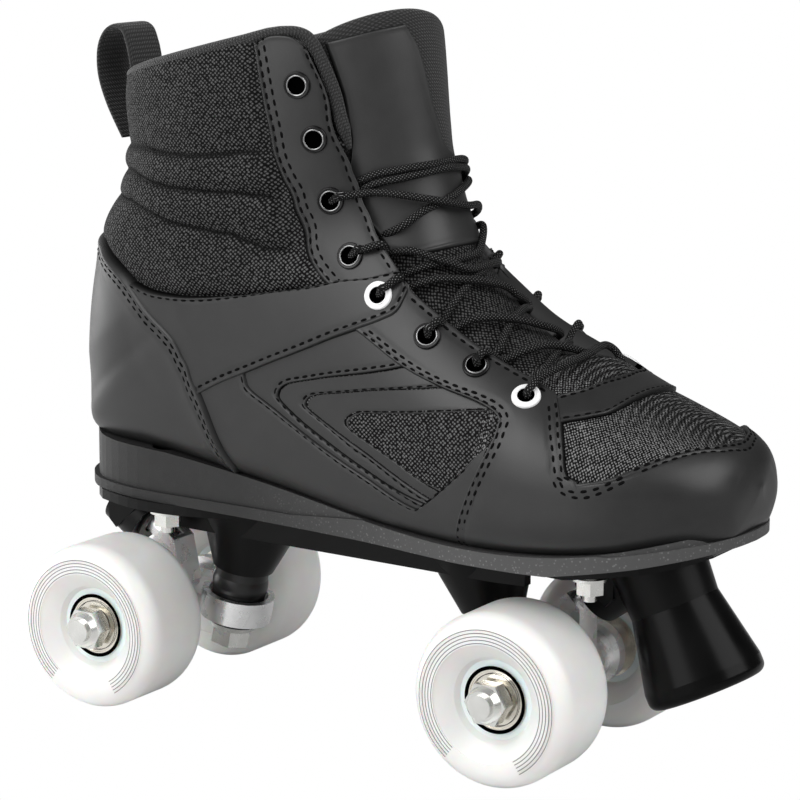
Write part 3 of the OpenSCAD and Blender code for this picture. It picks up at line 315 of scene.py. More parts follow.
def braid_material(name, yarn, gap, painted_highlight):
    """Round braid: diamonds 1.3 mm long that wind both ways round the lace, with a light fleck on the crown
    of each, a painted highlight.
    """
    m, tree, shader, place = surface(name, Roughness=.7, Specular_IOR_Level=.2)
    diamonds = cells(tree, turned(tree, place, 45, 1.1, 1.1), 1.0, voronoi_dimensions="2D", Randomness=0.0)
    feed(tree, shader, Base_Color=ramp(tree, diamonds, (.05, painted_highlight), (.2, yarn), (.55, gap)))
    bump(tree, shader, level(tree, diamonds, 1, 0), .35, .9)
    return m


def plastic_material(name, dark, light, rough, grain, depth, shine=.5, glow=0.0):
    """Moulded plastic, rubber or urethane: grain of the given size and depth in mm, and a faint change of
    tone. shine is the strength of its reflection, glow the share of light that spreads inside it."""
    m, tree, shader, place = surface(name, Specular_IOR_Level=shine, Subsurface_Weight=glow,
                                     Subsurface_Scale=8 * MM)
    wide = noise(tree, place, 14, 3.0)
    feed(tree, shader, Base_Color=ramp(tree, wide, (.3, dark), (.7, light)),
         Roughness=level(tree, wide, rough - .05, rough + .07))
    bump(tree, shader, noise(tree, place, grain, 3.0), depth, .6)
    return m


def sole_material(name):
    """Moulded sole: darker at the heel, with pale specks in cells of 1.3 mm from the waist to the toe."""
    m, tree, shader, place = surface(name, Roughness=.6)
    front = along_x(tree, place, -.05, .04)
    speck = ramp(tree, cells(tree, place["Object"], per_mm(1.3)), (.14, "#ffffff"), (.3, "#000000"))
    heel = ramp(tree, noise(tree, place, 3, 4.0), (.3, "#131313"), (.7, "#191919"))
    tone = blend(tree, front, heel, "#464646")
    held = joined(tree, "MULTIPLY", speck, front)
    feed(tree, shader, Base_Color=blend(tree, held, tone, "#686868"))
    bump(tree, shader, noise(tree, place, .6, 3.0), .12, .6)
    return m


def metal_material(name, dark, light, rough, grain):
    """Plated or polished metal: tone and roughness change slowly, with fine marks of the given size in mm."""
    m, tree, shader, place = surface(name, Metallic=1.0)
    wide = noise(tree, place, 6, 4.0)
    feed(tree, shader, Base_Color=ramp(tree, wide, (.3, dark), (.7, light)),
         Roughness=level(tree, wide, rough - .04, rough + .08))
    bump(tree, shader, noise(tree, place, grain, 2.0), .02, .35)
    return m


LEATHER = leather_material("black synthetic leather", "#1b1b1b", "#232323", .4)
LEATHER_TONGUE = leather_material("tongue leather", "#262626", "#2e2e2e", .43)
MESH = mesh_material("padded mesh textile", "#6a6a6a", "#030303", (1.2, 1.05), 40)
MESH_VAMP = mesh_material("ribbed vamp mesh", "#8a8a8a", "#060606", (.85, 1.15), 18, 2.6)
LINING = plastic_material("brushed lining textile", "#1a1a1a", "#262626", .9, .5, .15)
THREAD = plastic_material("black polyester thread", "#020202", "#050505", .8, .4, .1, .1)
BINDING = knit_material("ribbed knit binding", "#343434", "#040404", 1.1)
WEBBING = knit_material("woven webbing", "#3e3e3e", "#080808", 1.5)
# The light grey is a painted highlight on each braid crown
BRAID = braid_material("braided lace", "#101010", "#020202", "#9a9a9a")
URETHANE = plastic_material("white cast urethane", "#f0f0ee", "#f5f5f3", .34, .8, .03, .5, .4)
CHROME = metal_material("polished chrome", "#f0f0f0", "#f8f8f8", .26, .5)
ZINC = metal_material("bright zinc plating", "#dcdcd8", "#efefec", .24, .4)
BEARING = metal_material("ground bearing steel", "#e0dbd0", "#f0ebe0", .22, .3)
NYLON = plastic_material("glass filled nylon", "#060606", "#0b0b0b", .34, .5, .04, .16)
CUSHION = plastic_material("cushion urethane", "#0a0a0a", "#131313", .4, .6, .03)
STOP = plastic_material("toe stop rubber", "#040404", "#080808", .24, .6, .02, .12)
SOLE = sole_material("moulded sole rubber")
INSOLE = plastic_material("insole textile", "#202020", "#2c2c2c", .9, .6, .2)
EYELET = plastic_material("black eyelet enamel", "#050505", "#090909", .25, .6, .02, .3)
EYELET_WHITE = plastic_material("white eyelet enamel", "#efefef", "#f8f8f8", .3, .6, .02)
EYELET_RIM = metal_material("nickel eyelet rim", "#8a8a8a", "#a4a4a4", .2, .4)
# Near black without reflection: painted shade in the eyelets' holes and in the gaps round the bearings
PAINTED_SHADE_SHEET = plastic_material("painted shade sheet", "#010101", "#020202", .8, .6, .02, 0.0)
PRINT = plastic_material("grey printed ring", "#5c5c5c", "#686868", .4, .6, .01)

# Pieces


def faces(n, m, wrap=False, flip=False):
    """Quads of an n by m grid, joined round in the second direction if wrap."""
    k = np.arange(n * m).reshape(n, m)
    if wrap:
        k = np.concatenate([k, k[:, :1]], 1)
    q = np.stack([k[:-1, :-1], k[1:, :-1], k[1:, 1:], k[:-1, 1:]], -1).reshape(-1, 4)
    return q[:, ::-1] if flip else q


def copies(count, n, m, **how):
    """Quads of a number of n by m grids whose points follow each other."""
    return (faces(n, m, **how) + n * m * np.arange(count)[:, None, None]).reshape(-1, 4)


def piece(name, points, quads, material, uv=None, valley=None, body="boot", replaces=()):
    """A smooth mesh object from points in mm, riding on a body."""
    me = bpy.data.meshes.new(name)
    p = np.array(points, float).reshape(-1, 3)
    p[:, 0] -= MID_X
    me.from_pydata((p * MM).tolist(), [], quads.tolist())
    if uv is not None:
        at = np.empty(len(me.loops), np.int32)
        me.loops.foreach_get("vertex_index", at)
        flat = np.asarray(uv, np.float32).reshape(-1, 2)[at]
        me.uv_layers.new(name="UVMap").data.foreach_set("uv", flat.ravel())
    # Per point share of painted shade, which the leather and mesh materials turn towards near black
    if valley is not None:
        layer = me.attributes.new("valley", "FLOAT", "POINT")
        layer.data.foreach_set("value", np.asarray(valley, np.float32).ravel())
    me.polygons.foreach_set("use_smooth", np.ones(len(me.polygons), bool))
    me.materials.append(material)
    me.update()
    o = bpy.data.objects.new(name, me)
    bpy.context.scene.collection.objects.link(o)
    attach(o, body)
    if replaces:
        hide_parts(*replaces)
    return o


def travel(p, axis):
    """Distance in mm along a grid of points in one direction, from its first row."""
    step = np.linalg.norm(np.diff(p, axis=axis), axis=-1)
    zero = np.zeros_like(np.take(step, [0], axis))
    return np.concatenate([zero, np.cumsum(step, axis)], axis)


def measure(p):
    """Flat measure of a grid of points: the distance in mm along each direction."""
    return np.stack([travel(p, 0), travel(p, 1)], -1)


def rings(path, u, v, wide, high, n):
    """Rings of n points round a path: ellipses with half axes wide along u and high along v."""
    a = around(n)[:, None]
    return path[:, None] + wide * np.cos(a) * u[:, None] + high * np.sin(a) * v[:, None]


EDGE_MARKS = np.array([0, .06, .18, .38, .65, 1, 1.4, 1.9, 2.5, 3.2, 4])  # mm from the edge
EDGE_SHARE = .44  # most of a length that the marks at one edge take up


def marks(length, step=1.4):
    """Grid places from 0 to 1 along a length in mm: close together at both edges, a step apart between."""
    edge = EDGE_MARKS * min(1, EDGE_SHARE * length / EDGE_MARKS[-1])
    inner = np.linspace(edge[-1], length - edge[-1], max(3, int((length - 2 * edge[-1]) / step)))
    return np.concatenate([edge[:-1], inner, length - edge[-2::-1]]) / length


# Stitches, in mm: from one to the next, length, width and height
STITCH_PITCH, STITCH_L, STITCH_W, STITCH_H = 3.5, 2.3, 1.0, .5
SEAM_STEP = .6  # mm each way over which a seam's direction is measured
SEAMS = {side: [] for side in SIDES}  # rows of stitches on each side
# Leather edges, in mm: stitch dents, the bead and rounding of a fold, its dark cut (partly the raw edge,
# partly painted shade), a lip and a swell
DENT, DENT_W = .36, .7
BEAD, BEAD_AT, BEAD_W = .22, .9, .6
FOLD_R, FOLD_SUNK, CUT_W = .8, .5, .3
LIP_R, LIP_SUNK = 1.4, 5.5
SWELL, SWELL_W = 1.0, 7
# Turning under at the feather line: radius in mm, degrees past the line, and mm to a degree
TUCK_R, TUCK_PAST, TUCK_MM = 2.5, 2, .75
# Painted shade at the feather line: mm from the line over which it is full, and mm over which it then fades
TUCK_SHADE, TUCK_SHADE_W = .2, .5


def seam(t, angle, height, side):
    """Notes a row of stitches along arrays of station, angle and height: middles, directions and normals."""
    p = boot(t, angle * side, height)
    up = boot(t, angle * side, height + 1) - p
    along = travel(p, 0)
    count = int(along[-1] / STITCH_PITCH)
    if count < 1:
        return
    at = (np.arange(count) + .5) * along[-1] / count
    on = lambda d, v: np.stack([np.interp(d, along, v[:, i]) for i in range(3)], -1)
    a, n = unit(on(at + SEAM_STEP, p) - on(at - SEAM_STEP, p)), on(at, up)
    SEAMS[side].append((on(at, p), a, unit(n - a * (a * n).sum(1, keepdims=True))))


def rise(d, radius):
    """Quarter circle from 0 at an edge to 1 at the given radius in mm from it."""
    return np.sqrt(1 - (1 - share(d, 0, radius))**2)


def round_off(h, sunk, away, radius, held=1):
    """Height h rounded down over a radius to an edge that is sunk into the boot, as far as held says."""
    return -sunk + (h + sunk) * (1 - held * (1 - rise(away, radius)))


def dents(away, rows, held):
    """Depth of the dents of stitch rows at distances from an edge: a bell curve across each row."""
    return held * sum(DENT * np.exp(-((away - d) / DENT_W)**2) for d in rows)


def fold(h, dark, away, held):
    """A folded edge: a low bead beside it, the edge rounded down into the boot, and dark at the cut, partly
    the raw edge's own colour and partly painted shade.
    """
    h = h + held * BEAD * np.exp(-((away - BEAD_AT) / BEAD_W)**2)
    return round_off(h, FOLD_SUNK, away, FOLD_R, held), np.maximum(dark, held * np.exp(-(away / CUT_W)**2))


def tuck(t, angle, h, dark):
    """Leather height rounded down over the last 2.5 mm to the feather line, with painted shade at that line,
    where it meets the sole.
    """
    left = (np.interp(t, *FEATHER.T) + TUCK_PAST - np.abs(angle)) * TUCK_MM
    shade = np.exp(-(np.maximum(left - TUCK_SHADE, 0) / TUCK_SHADE_W)**2)
    return round_off(h, FOLD_SUNK, left, TUCK_R), np.maximum(dark, shade)


def coons(low, high, near, far, s, r):
    """Patch between four boundary splines: the sum of both rulings less the bilinear patch of the corners."""
    on = lambda rows, v: spline(rows, v * (len(rows) - 1))
    lo, hi = on(low, s)[:, None], on(high, s)[:, None]
    ne, fa = on(near, r)[None], on(far, r)[None]
    s, r = s[:, None, None], r[None, :, None]
    flat = (1 - s) * (1 - r) * lo[:1] + s * (1 - r) * lo[-1:] + (1 - s) * r * hi[:1] + s * r * hi[-1:]
    return np.moveaxis((1 - r) * lo + r * hi + (1 - s) * ne + s * fa - flat, -1, 0)


def crossing(d, away, *grids):
    """Values in each row of grids where the distance from the first column reaches d, between columns."""
    j = np.clip((away < d).sum(1) - 1, 0, away.shape[1] - 2)[:, None]
    at = lambda v, k: np.take_along_axis(v, j + k, 1)
    f = np.clip((d - at(away, 0)) / (at(away, 1) - at(away, 0)), 0, 1)
    return [((1 - f) * at(v, 0) + f * at(v, 1))[:, 0] for v in grids]


def leather(name, low, high, thick, edges, near=None, far=None, side=1, replaces=(), material=None,
            slot="black_leather", base=None):
    """A leather piece on the boot between boundary curves of (station, angle). Each of edges gives a
    boundary's name, kind, stitch rows in mm from it, and the share of it from and to which this holds. A
    fold rounds the edge down to the boot, a lip rolls it into the lace opening, and a swell lifts it over
    the leather beside it. The leather turns under at the feather line. base gives the height of the ground
    below, from station and angle, where that isn't the boot itself."""
    bounds = (low, high, near or [low[0], high[0]], far or [low[-1], high[-1]])
    ground = base or (lambda t, angle: np.zeros_like(t))
    even = np.linspace(0, 1, 60)
    p = boot(*coons(*bounds, even, even))
    s, r = marks(travel(p, 0)[-1].mean()), marks(travel(p, 1)[:, -1].mean())
    t, angle = coons(*bounds, s, r)
    uv = measure(boot(t, angle, ground(t, angle)))
    ds, dr = uv[..., 0], uv[..., 1]
    away = {"low": dr, "high": dr[:, -1:] - dr, "near": ds, "far": ds[-1:] - ds}
    along = {"low": s[:, None], "high": s[:, None], "near": r[None], "far": r[None]}
    hold = lambda e, start, end: share(along[e], start - .01, .02) * share(along[e], end + .01, -.02)
    h, dark = np.full(t.shape, float(thick)), np.zeros(t.shape)
    for e, kind, rows, start, end in edges:
        held = hold(e, start, end)
        h = h - dents(away[e], rows, held)
        if kind == "swell":
            h = h + held * SWELL * np.exp(-(away[e] / SWELL_W)**2)
        if kind == "fold":
            h, dark = fold(h, dark, away[e], held)
    for e, kind, rows, start, end in edges:
        if kind == "lip":
            h = round_off(h, LIP_SUNK, away[e], LIP_R, hold(e, start, end))
    if base is None:
        h, dark = tuck(t, angle, h, dark)
    h = h + ground(t, angle)
    for e, kind, rows, start, end in edges:
        grids = [v.T if e in ("near", "far") else v for v in (away[e], t, angle, h)]
        if e in ("high", "far"):
            grids = [v[:, ::-1] for v in grids]
        place = along[e].ravel()
        pick = (place >= start) & (place <= end)
        for d in rows:
            seam(*crossing(d, *(v[pick] for v in grids)), side)
    # dark: painted shade at cut edges and at the feather line, with the raw cut edges' own colour
    return piece(name, boot(t, angle * side, h), faces(*t.shape, flip=side > 0), material or LEATHER, uv,
                 dark, replaces=replaces)


# Textile base of the boot
# Lines between the padded rolls of the ankle: angle, station
ROLL_LINES = [
    [[20, 9.0], [40.8, 9.39], [45.9, 9.82], [52.8, 10.16], [61, 10.65], [75.9, 11.2], [102.3, 11.9],
     [125.7, 12.46], [139, 12.85], [156.7, 13.88], [180, 14.3]],
    [[20, 10.3], [38.3, 10.77], [40.9, 11.16], [55.4, 12.03], [67.5, 12.5], [95.6, 13.1], [114.4, 13.53],
     [130.5, 14.01], [142.7, 14.38], [160, 14.75], [180, 14.9]],
    [[20, 12.1], [41.3, 12.52], [53.9, 13.02], [71.6, 13.49], [97.5, 13.95], [118, 14.3], [134.2, 14.64],
     [148.8, 15.01], [165, 15.2], [180, 15.25]],
    [[20, 13.6], [54.3, 14.07], [64.6, 14.29], [76.2, 14.43], [107.6, 14.78], [125.4, 15.04], [142, 15.33],
     [160, 15.55], [180, 15.65]],
    [[20, 17.2], [180, 17.2]]]
ROLL_MM = 17.0  # mm between stations on the ankle
ROLL_H, ROLL_SHARE, TOP_H = 2.9, .3, 1.5  # most height of a roll, its share of the width, height at the top
ROLLS = 3
# Width in mm of the painted shade along the valleys between rolls
VALLEY_W = 1.1
# Rear edge of the eyestay: station, angle, and degrees behind it over which the rolls set in
STAY_REAR = np.array([[9.75, 45], [10.5, 39], [11.3, 35], [13.1, 45], [15.2, 62], [16.5, 68]])
STAY_FADE = 9
RIM, RIM_SETS_IN, RIM_OVER = 17, 15.8, 1.2  # station of the rim, and where and over how much it is lowered
WALL = 5.0  # thickness of the padded wall
HEEL_X, HEEL_R = -60, 36  # middle and radius of the heel's round, for the textile's measure


def ankle(t, angle):
    """Height of the padded rolls over the boot, a flattened half sine across each, and how near each point is
    to the dip between two rolls, from 0 to 1, which the mesh shows as painted shade."""
    a = np.minimum(angle, 360 - angle)
    lines = [np.interp(a, *np.array(rows).T) for rows in ROLL_LINES]
    h, deep = np.zeros_like(t), np.zeros_like(t)
    for k, (low, high) in enumerate(zip(lines, lines[1:])):
        gap = np.maximum(high - low, 1e-3)
        full = np.minimum(ROLL_H, ROLL_SHARE * gap * ROLL_MM) if k < ROLLS else TOP_H
        h = h + np.where((t > low) & (t <= high), full * np.sin(np.pi * share(t, low, gap))**.6, 0)
        if k:
            deep = np.maximum(deep, np.exp(-(np.abs(t - low) * ROLL_MM / VALLEY_W)**2))
    fade = smooth(share(a, np.interp(t, *STAY_REAR.T), STAY_FADE))
    return h * fade, deep * fade


def rim(angle):
    """Station of the collar's rim at an angle in degrees round the boot, read off a table."""
    return RIM - np.interp(np.minimum(angle, 360 - angle), [46, 51, 56.5, 62, 75, 110, 140, 180],
                           [.42, .32, .24, .2, .2, .14, .08, .05])


def round_boot(rows, n):
    """Stations and angles from one edge of the lace opening round the heel to the other, up to the rim."""
    t = np.broadcast_to(rows[:, None], (len(rows), n))
    start = throat(t) + 1.5
    angle = start + (360 - 2 * start) * np.linspace(0, 1, n)
    return t - share(t, RIM_SETS_IN, RIM_OVER) * (RIM - rim(angle)), angle


def quarters():
    """Padded textile of the sides, heel and ankle: outer face up to the rim, round it in a half circle and
    down the inside."""
    n = 400
    t, angle = round_boot(np.concatenate([np.linspace(5.0, 9, 45), np.linspace(9.03, RIM, 200)]), n)
    h, deep = ankle(t, angle)
    # Painted shade in the valleys; the mesh is also drawn darker above station 10.5
    deep = np.maximum(deep, .28 * share(t, 10.5, 1))
    h = np.where(t < 5.8, h - 1.2, h)
    p = boot(t, angle, h)
    arc = np.linspace(0, np.pi, 9)[1:-1, None]
    over = boot(t[-1] + .12 * np.sin(arc), angle[-1], h[-1] - (WALL + h[-1]) * (1 - np.cos(arc)) / 2)
    inside = boot(*round_boot(np.linspace(RIM, 6, 70), n), -WALL)
    x, y = p[..., 0], np.abs(p[..., 1])
    round_heel = HEEL_X - HEEL_R * (np.pi / 2 - np.arctan2(y, np.maximum(HEEL_X - x, 1e-6)))
    uv = np.stack([np.where(x > HEEL_X, x, round_heel), p[..., 2]], -1)
    o = piece("quarters_textile", p, faces(*t.shape), MESH, uv, deep,
              replaces=("quarters",))
    lining = np.concatenate([p[-1:], over, inside])
    piece("quarters_lining", lining, faces(*lining.shape[:2]), LINING)


def vamp():
    """Textile of the forefoot: the boot surface from the toe to the lace opening, dipping under the tongue.
    Dark rib lines across its crown are painted shade of the grooves between ribs."""
    t, angle = np.broadcast_arrays(np.linspace(.05, 6.2, 150)[:, None], np.linspace(-178, 178, 300)[None])
    foot, turn = THROAT[0, 0], np.abs(angle)
    sink = share(t, foot, .75) * share(turn, throat(np.maximum(t, foot)) + 8, -8)
    p = boot(t, angle, -7.5 * sink**1.3)
    # Painted shade on the crown, which the vamp mesh lays in rib lines
    piece("vamp_textile", p, faces(*t.shape), MESH_VAMP, measure(p), .9 * share(turn, 62, -40),
          replaces=("vamp",))


quarters()
vamp()

# Leather pieces: their edges as (station, angle)
STAY_BACK = [
    [9.45, 52], [10.07, 46.6], [11.19, 35.4], [12.35, 39.2], [13.19, 46.5], [14.32, 55.7], [15.1, 62.7],
    [15.92, 66.2], [16.64, 68.7]]
STAY_FRONT = [
    [8.8, 33.8], [9.96, 26.2], [10.69, 21.6], [11.59, 20.7], [12.4, 23], [13.03, 26.3], [14.04, 31.6],
    [14.78, 35.8], [16.15, 44.5]]
STAY_TOP = [[16.64, 68.7], [16.78, 62], [16.71, 55.5], [16.55, 50.3], [16.15, 44.5]]
# The ankle panel's top runs along the lowest line between the rolls
ANKLE_TOP = [[12.95, 141]] + [[t, angle] for angle, t in ROLL_LINES[0][7:0:-1]] + [[8.95, 33.5]]
ANKLE_LOW = [
    [10.15, 131], [10.01, 119.1], [9.84, 107.5], [9.59, 90.2], [9.24, 71.6], [8.92, 60.7], [8.6, 52.3],
    [8.42, 46], [8.5, 37]]
ANKLE_BACK = [[10.15, 133], [10.68, 123], [11.25, 118], [12.14, 128.5], [12.95, 143]]
COUNTER_HIGH = [
    [9.33, 147.9], [9.43, 143.4], [9.81, 134.8], [10.28, 126.6], [10.61, 119.6], [11.15, 114.8],
    [12.07, 125.5], [12.85, 139], [13.49, 150.5], [13.88, 157.5], [14.2, 168], [14.3, 180]]
COUNTER_LOW = [
    [9.33, 168], [9.4, 169], [9.5, 170], [9.7, 172], [9.9, 174], [10.1, 175], [10.3, 176], [10.5, 177],
    [10.7, 178], [10.8, 179], [10.86, 179.5], [10.88, 180]]
FACING_EDGE = [
    [9.05, 60.5], [8.22, 63.3], [7.75, 63.7], [7.14, 62.8], [6.53, 62.5], [6.13, 63.8], [5.91, 66],
    [5.87, 69.1], [5.9, 75.8], [6.06, 86.6], [6.29, 101], [6.56, 123], [6.68, 141]]
VAMP_EDGE = [
    [8.65, 36], [7.79, 36.7], [7.1, 37.2], [6.5, 38.8], [5.93, 40.9], [5.5, 42.8], [5.25, 46], [4.98, 57.5],
    [4.74, 72.1], [4.65, 79], [4.56, 82.6], [4.4, 84.2], [4.35, 95], [4.34, 112], [4.34, 134]]
FACING_TOP = [[9.05, 60.5], [8.75, 52], [8.6, 46], [8.65, 36]]
SIDE_HIGH = [
    [9.98, 105.5], [9.79, 112.3], [9.65, 115.2], [9.3, 115.8], [8.83, 116.8], [8.38, 116.4], [7.93, 115.6],
    [7.39, 115.5], [7.08, 114], [6.95, 109.3], [6.62, 98.4], [6.35, 90], [5.95, 79]]
CHEVRON_ROOF = [
    [8.75, 57.5], [9.12, 60], [9.36, 70.6], [9.62, 84], [9.84, 97], [9.96, 106.5], [9.9, 113.5],
    [9.35, 117.3], [8.83, 118.3], [8.38, 117.9], [7.93, 117.1], [7.0, 115.5]]
CHEVRON_ONE = [
    [7.62, 58.3], [8.37, 73.7], [8.89, 86.6], [9.25, 98.7], [9.36, 104.6], [9.36, 109.7], [9.27, 112.1],
    [8.93, 114], [8.48, 114.2], [8.01, 113.9], [7.58, 113.4], [6.96, 111.3]]
CHEVRON_TWO = [
    [6.8, 58.3], [7.64, 70], [8.26, 80.5], [8.78, 93.8], [8.98, 100.5], [9.01, 105.4], [8.93, 107.5],
    [8.58, 108], [8.3, 108], [8.08, 107.9], [7.63, 108.4], [6.88, 109]]
CHEVRON_THREE = [
    [5.62, 60.3], [6.82, 70.7], [7.51, 79.6], [8.14, 90.2], [8.32, 95.1], [8.39, 100.8], [8.29, 103.2],
    [7.94, 103.1], [7.7, 103], [7.47, 103], [7.11, 103.6], [6.7, 103]]
BAR_REAR = [[5.3, -50], [4.98, -34], [4.88, -17], [4.85, 0], [4.88, 17], [4.98, 34], [5.3, 50]]
BAR_FRONT = [[5.06, -62], [4.62, -53], [4.36, -40], [4.3, 0], [4.36, 40], [4.62, 53], [5.06, 62]]
SIDE_LOW = [
    [10.3, 131.5], [10.05, 134.5], [9.92, 137], [9.72, 141.5], [9.55, 147], [9.45, 168], [8.9, 162],
    [8.45, 157.5], [7.95, 152.5], [7.5, 148], [7.0, 144], [6.4, 140]]
GROOVE = .04  # share of the way to the next chevron that is left open


def shifted(rows, toward):
    """A boundary moved a little way towards another with the same number of points, which leaves a groove."""
    a, b = np.array(rows), np.array(toward)
    return (a + GROOVE * (b - a)).tolist()


def both_sides(name, low, high, thick, edges, nodes, **more):
    """The same leather piece on the right and, mirrored, on the left."""
    for side, word in SIDES.items():
        leather(name + "_" + word, low, high, thick, edges, side=side,
                replaces=[n.replace("SIDE", word) for n in nodes], **more)


CHEVRON_EDGES = [("high", "fold", (1.5,), 0, 1)]
both_sides("side_panel_leather", SIDE_LOW, SIDE_HIGH, 1.9, [("high", "fold", (1.5,), .05, .94)],
           ["side_panel_SIDE"])
both_sides("chevron_outer", CHEVRON_ROOF, CHEVRON_ONE, 1.15, CHEVRON_EDGES, [])
both_sides("chevron_middle", shifted(CHEVRON_ONE, CHEVRON_TWO), CHEVRON_TWO, .6, CHEVRON_EDGES, [])
both_sides("chevron_inner", shifted(CHEVRON_TWO, CHEVRON_THREE), CHEVRON_THREE, .15, CHEVRON_EDGES, [])
both_sides("facing_leather", FACING_EDGE, VAMP_EDGE, 2.0,
           [("low", "fold", (1.4, 3.5), .02, .94), ("high", "lip", (2.8,), .02, .41),
            ("high", "fold", (1.3, 3.8), .45, .78)], ["facing_SIDE"], near=FACING_TOP)
both_sides("eyestay_leather", STAY_BACK, STAY_FRONT, 1.7,
           [("low", "fold", (1.8, 4.1), .06, 1), ("high", "lip", (2.8,), 0, 1), ("far", "fold", (), 0, 1)],
           ["eyestay_SIDE"], far=STAY_TOP)
both_sides("ankle_leather", ANKLE_LOW, ANKLE_TOP, 2.6,
           [("low", "fold", (2.3,), 0, 1), ("high", "fold", (1.5,), 0, 1), ("far", "lip", (), 0, 1)],
           ["ankle_panel_SIDE"], near=ANKLE_BACK)
both_sides("counter_leather", COUNTER_LOW, COUNTER_HIGH, 2.1,
           [("high", "swell", (), 0, 1), ("high", "fold", (2.6, 4.6), 0, .98)], [])
leather("vamp_bar_leather", BAR_REAR, BAR_FRONT, 1.5,
        [(edge, "fold", (1.5,), .05, .95) for edge in ("low", "high")], replaces=["vamp_bar"])

# The toe leather's edge: its station at each angle, stitch rows in mm from it, and where rows and edge end
TOE_REACH = [
    [0, 2.02], [20, 2.1], [42.7, 2.36], [58, 2.84], [69.1, 3.26], [78.1, 3.68], [82.4, 4.04], [84, 4.25],
    [84.3, 4.4], [85.3, 4.7], [180, 4.7]]
TOE_ROWS, TOE_ROWS_END, TOE_EDGE_END = (1.3, 3.8), 77, 85
# Two rows of stitches round the lower corner of the toe's mesh, as (station, angle), and their height
TOE_CORNER = (
    [[4.69, 83.4], [4.62, 86.3], [4.48, 87.6], [4.31, 87.3], [4.11, 86], [3.89, 83.3], [3.61, 78.7]],
    [[4.8, 83.8], [4.71, 87.1], [4.56, 89.2], [4.34, 89.8], [4.15, 88.8], [3.88, 85.7], [3.56, 80.6]])
TOE_CORNER_H = 1.9


def toe_cap():
    """Toe leather in polar form: from the tip out to an edge whose reach depends on the angle."""
    angle = np.concatenate([-np.linspace(180, 0, 300), np.linspace(0, 180, 300)[1:]])
    f = np.unique(np.concatenate([[0], np.linspace(.004, .93, 60), 1 - marks(60, 1.2)[:12]]))
    reach = np.interp(np.abs(angle), *np.array(TOE_REACH).T)
    reach = np.convolve(np.pad(reach, 3, mode="edge"), np.ones(7) / 7, "valid")
    t = reach[None] * f[:, None]
    a = np.broadcast_to(angle[None], t.shape)
    d = travel(boot(t, a), 0)
    away = d[-1:] - d
    edged = share(np.abs(a), TOE_EDGE_END, -1)
    h = 1.4 + .55 * share(t, 2.2, 1.5) - dents(away, TOE_ROWS, edged)
    # dark: painted shade at the cut edge and at the feather line, with the raw cut edge's own colour
    h, dark = tuck(t, a, *fold(h, 0, away, edged))
    p = boot(t, a, h)
    p[0] = p[1].mean(0)
    for row in TOE_ROWS:
        tt, hh = crossing(row, *(v.T[:, ::-1] for v in (away, t, h)))
        for side in SIDES:
            pick = (angle * side >= 0) & (np.abs(angle) < TOE_ROWS_END)
            seam(tt[pick], np.abs(angle[pick]), hh[pick], side)
    for rows in TOE_CORNER:
        for side in SIDES:
            seam(*curve(rows, 60).T, np.full(60, TOE_CORNER_H), side)
    piece("toe_cap_leather", p, faces(*t.shape, flip=True), LEATHER, np.stack([d, travel(p, 1)], -1), dark,
          replaces=("toe_cap", "foxing", "side_bands", "heel_counter"))


toe_cap()


def stitches():
    """Thread dashes: slim rounded bars in the seam rows, each with its ends sunk into the leather."""
    u = np.array([-1, -.8, -.3, .3, .8, 1])
    fat = np.array([.15, .8, 1, 1, .8, .15])[:, None, None]
    lift = .12 * (1 - u**2) - .06
    for side, word in SIDES.items():
        c, a, n = (np.concatenate(v)[:, None] for v in zip(*SEAMS[side]))
        path = c + a * (u * STITCH_L / 2)[:, None] + n * lift[:, None]
        turn = around(len(u))[:, None]
        p = path[:, :, None] + fat * (np.cross(a, n)[:, :, None] * np.cos(turn) * STITCH_W / 2
                                      + n[:, :, None] * np.sin(turn) * STITCH_H / 2)
        piece("stitching_" + word, p, copies(len(c), len(u), len(u), wrap=True), THREAD)


stitches()

# Tongue, binding, loop, eyelets and lace
TONGUE_END, TONGUE_UNDER, TONGUE_THICK = 16.4, 9, 3.2  # station, degrees under the eyestays, mm
TONGUE_SEAM = 9.6  # station where the mesh ends and the knit starts
# Half angles of the tongue's leather panel at each station, to the right and to the left
PANEL = np.array([
    [9.3, 27], [10.4, 22], [11.5, 20.5], [12.3, 22], [13.66, 24.5], [14.43, 28.1], [15.35, 33], [16.02, 36],
    [16.4, 38]])
PANEL_LEFT = np.array([
    [9.3, 27], [10.4, 17], [11.2, 6], [11.83, .5], [13.5, -1.9], [15.16, -5.4], [15.9, -8.3],
    [16.4, -12.4]])
PANEL_THICK = .9
PLAIN = ("fold", (), 0, 1)  # a fold along a whole edge, without stitches


def tongue_off(t, f):
    """Depth of the tongue's face below the boot: sunk at its edges, crowned more towards the top."""
    crown = np.interp(t, [5, 8, 10, 11, 17], [2.5, 3.2, 6.5, 7.6, 8.2])
    return -8.2 + crown * (1 - np.abs(f)**2.4)


def tongue_ground(t, angle):
    """Depth of the tongue's face at a station and an angle."""
    return tongue_off(t, angle / (throat(t) + TONGUE_UNDER))


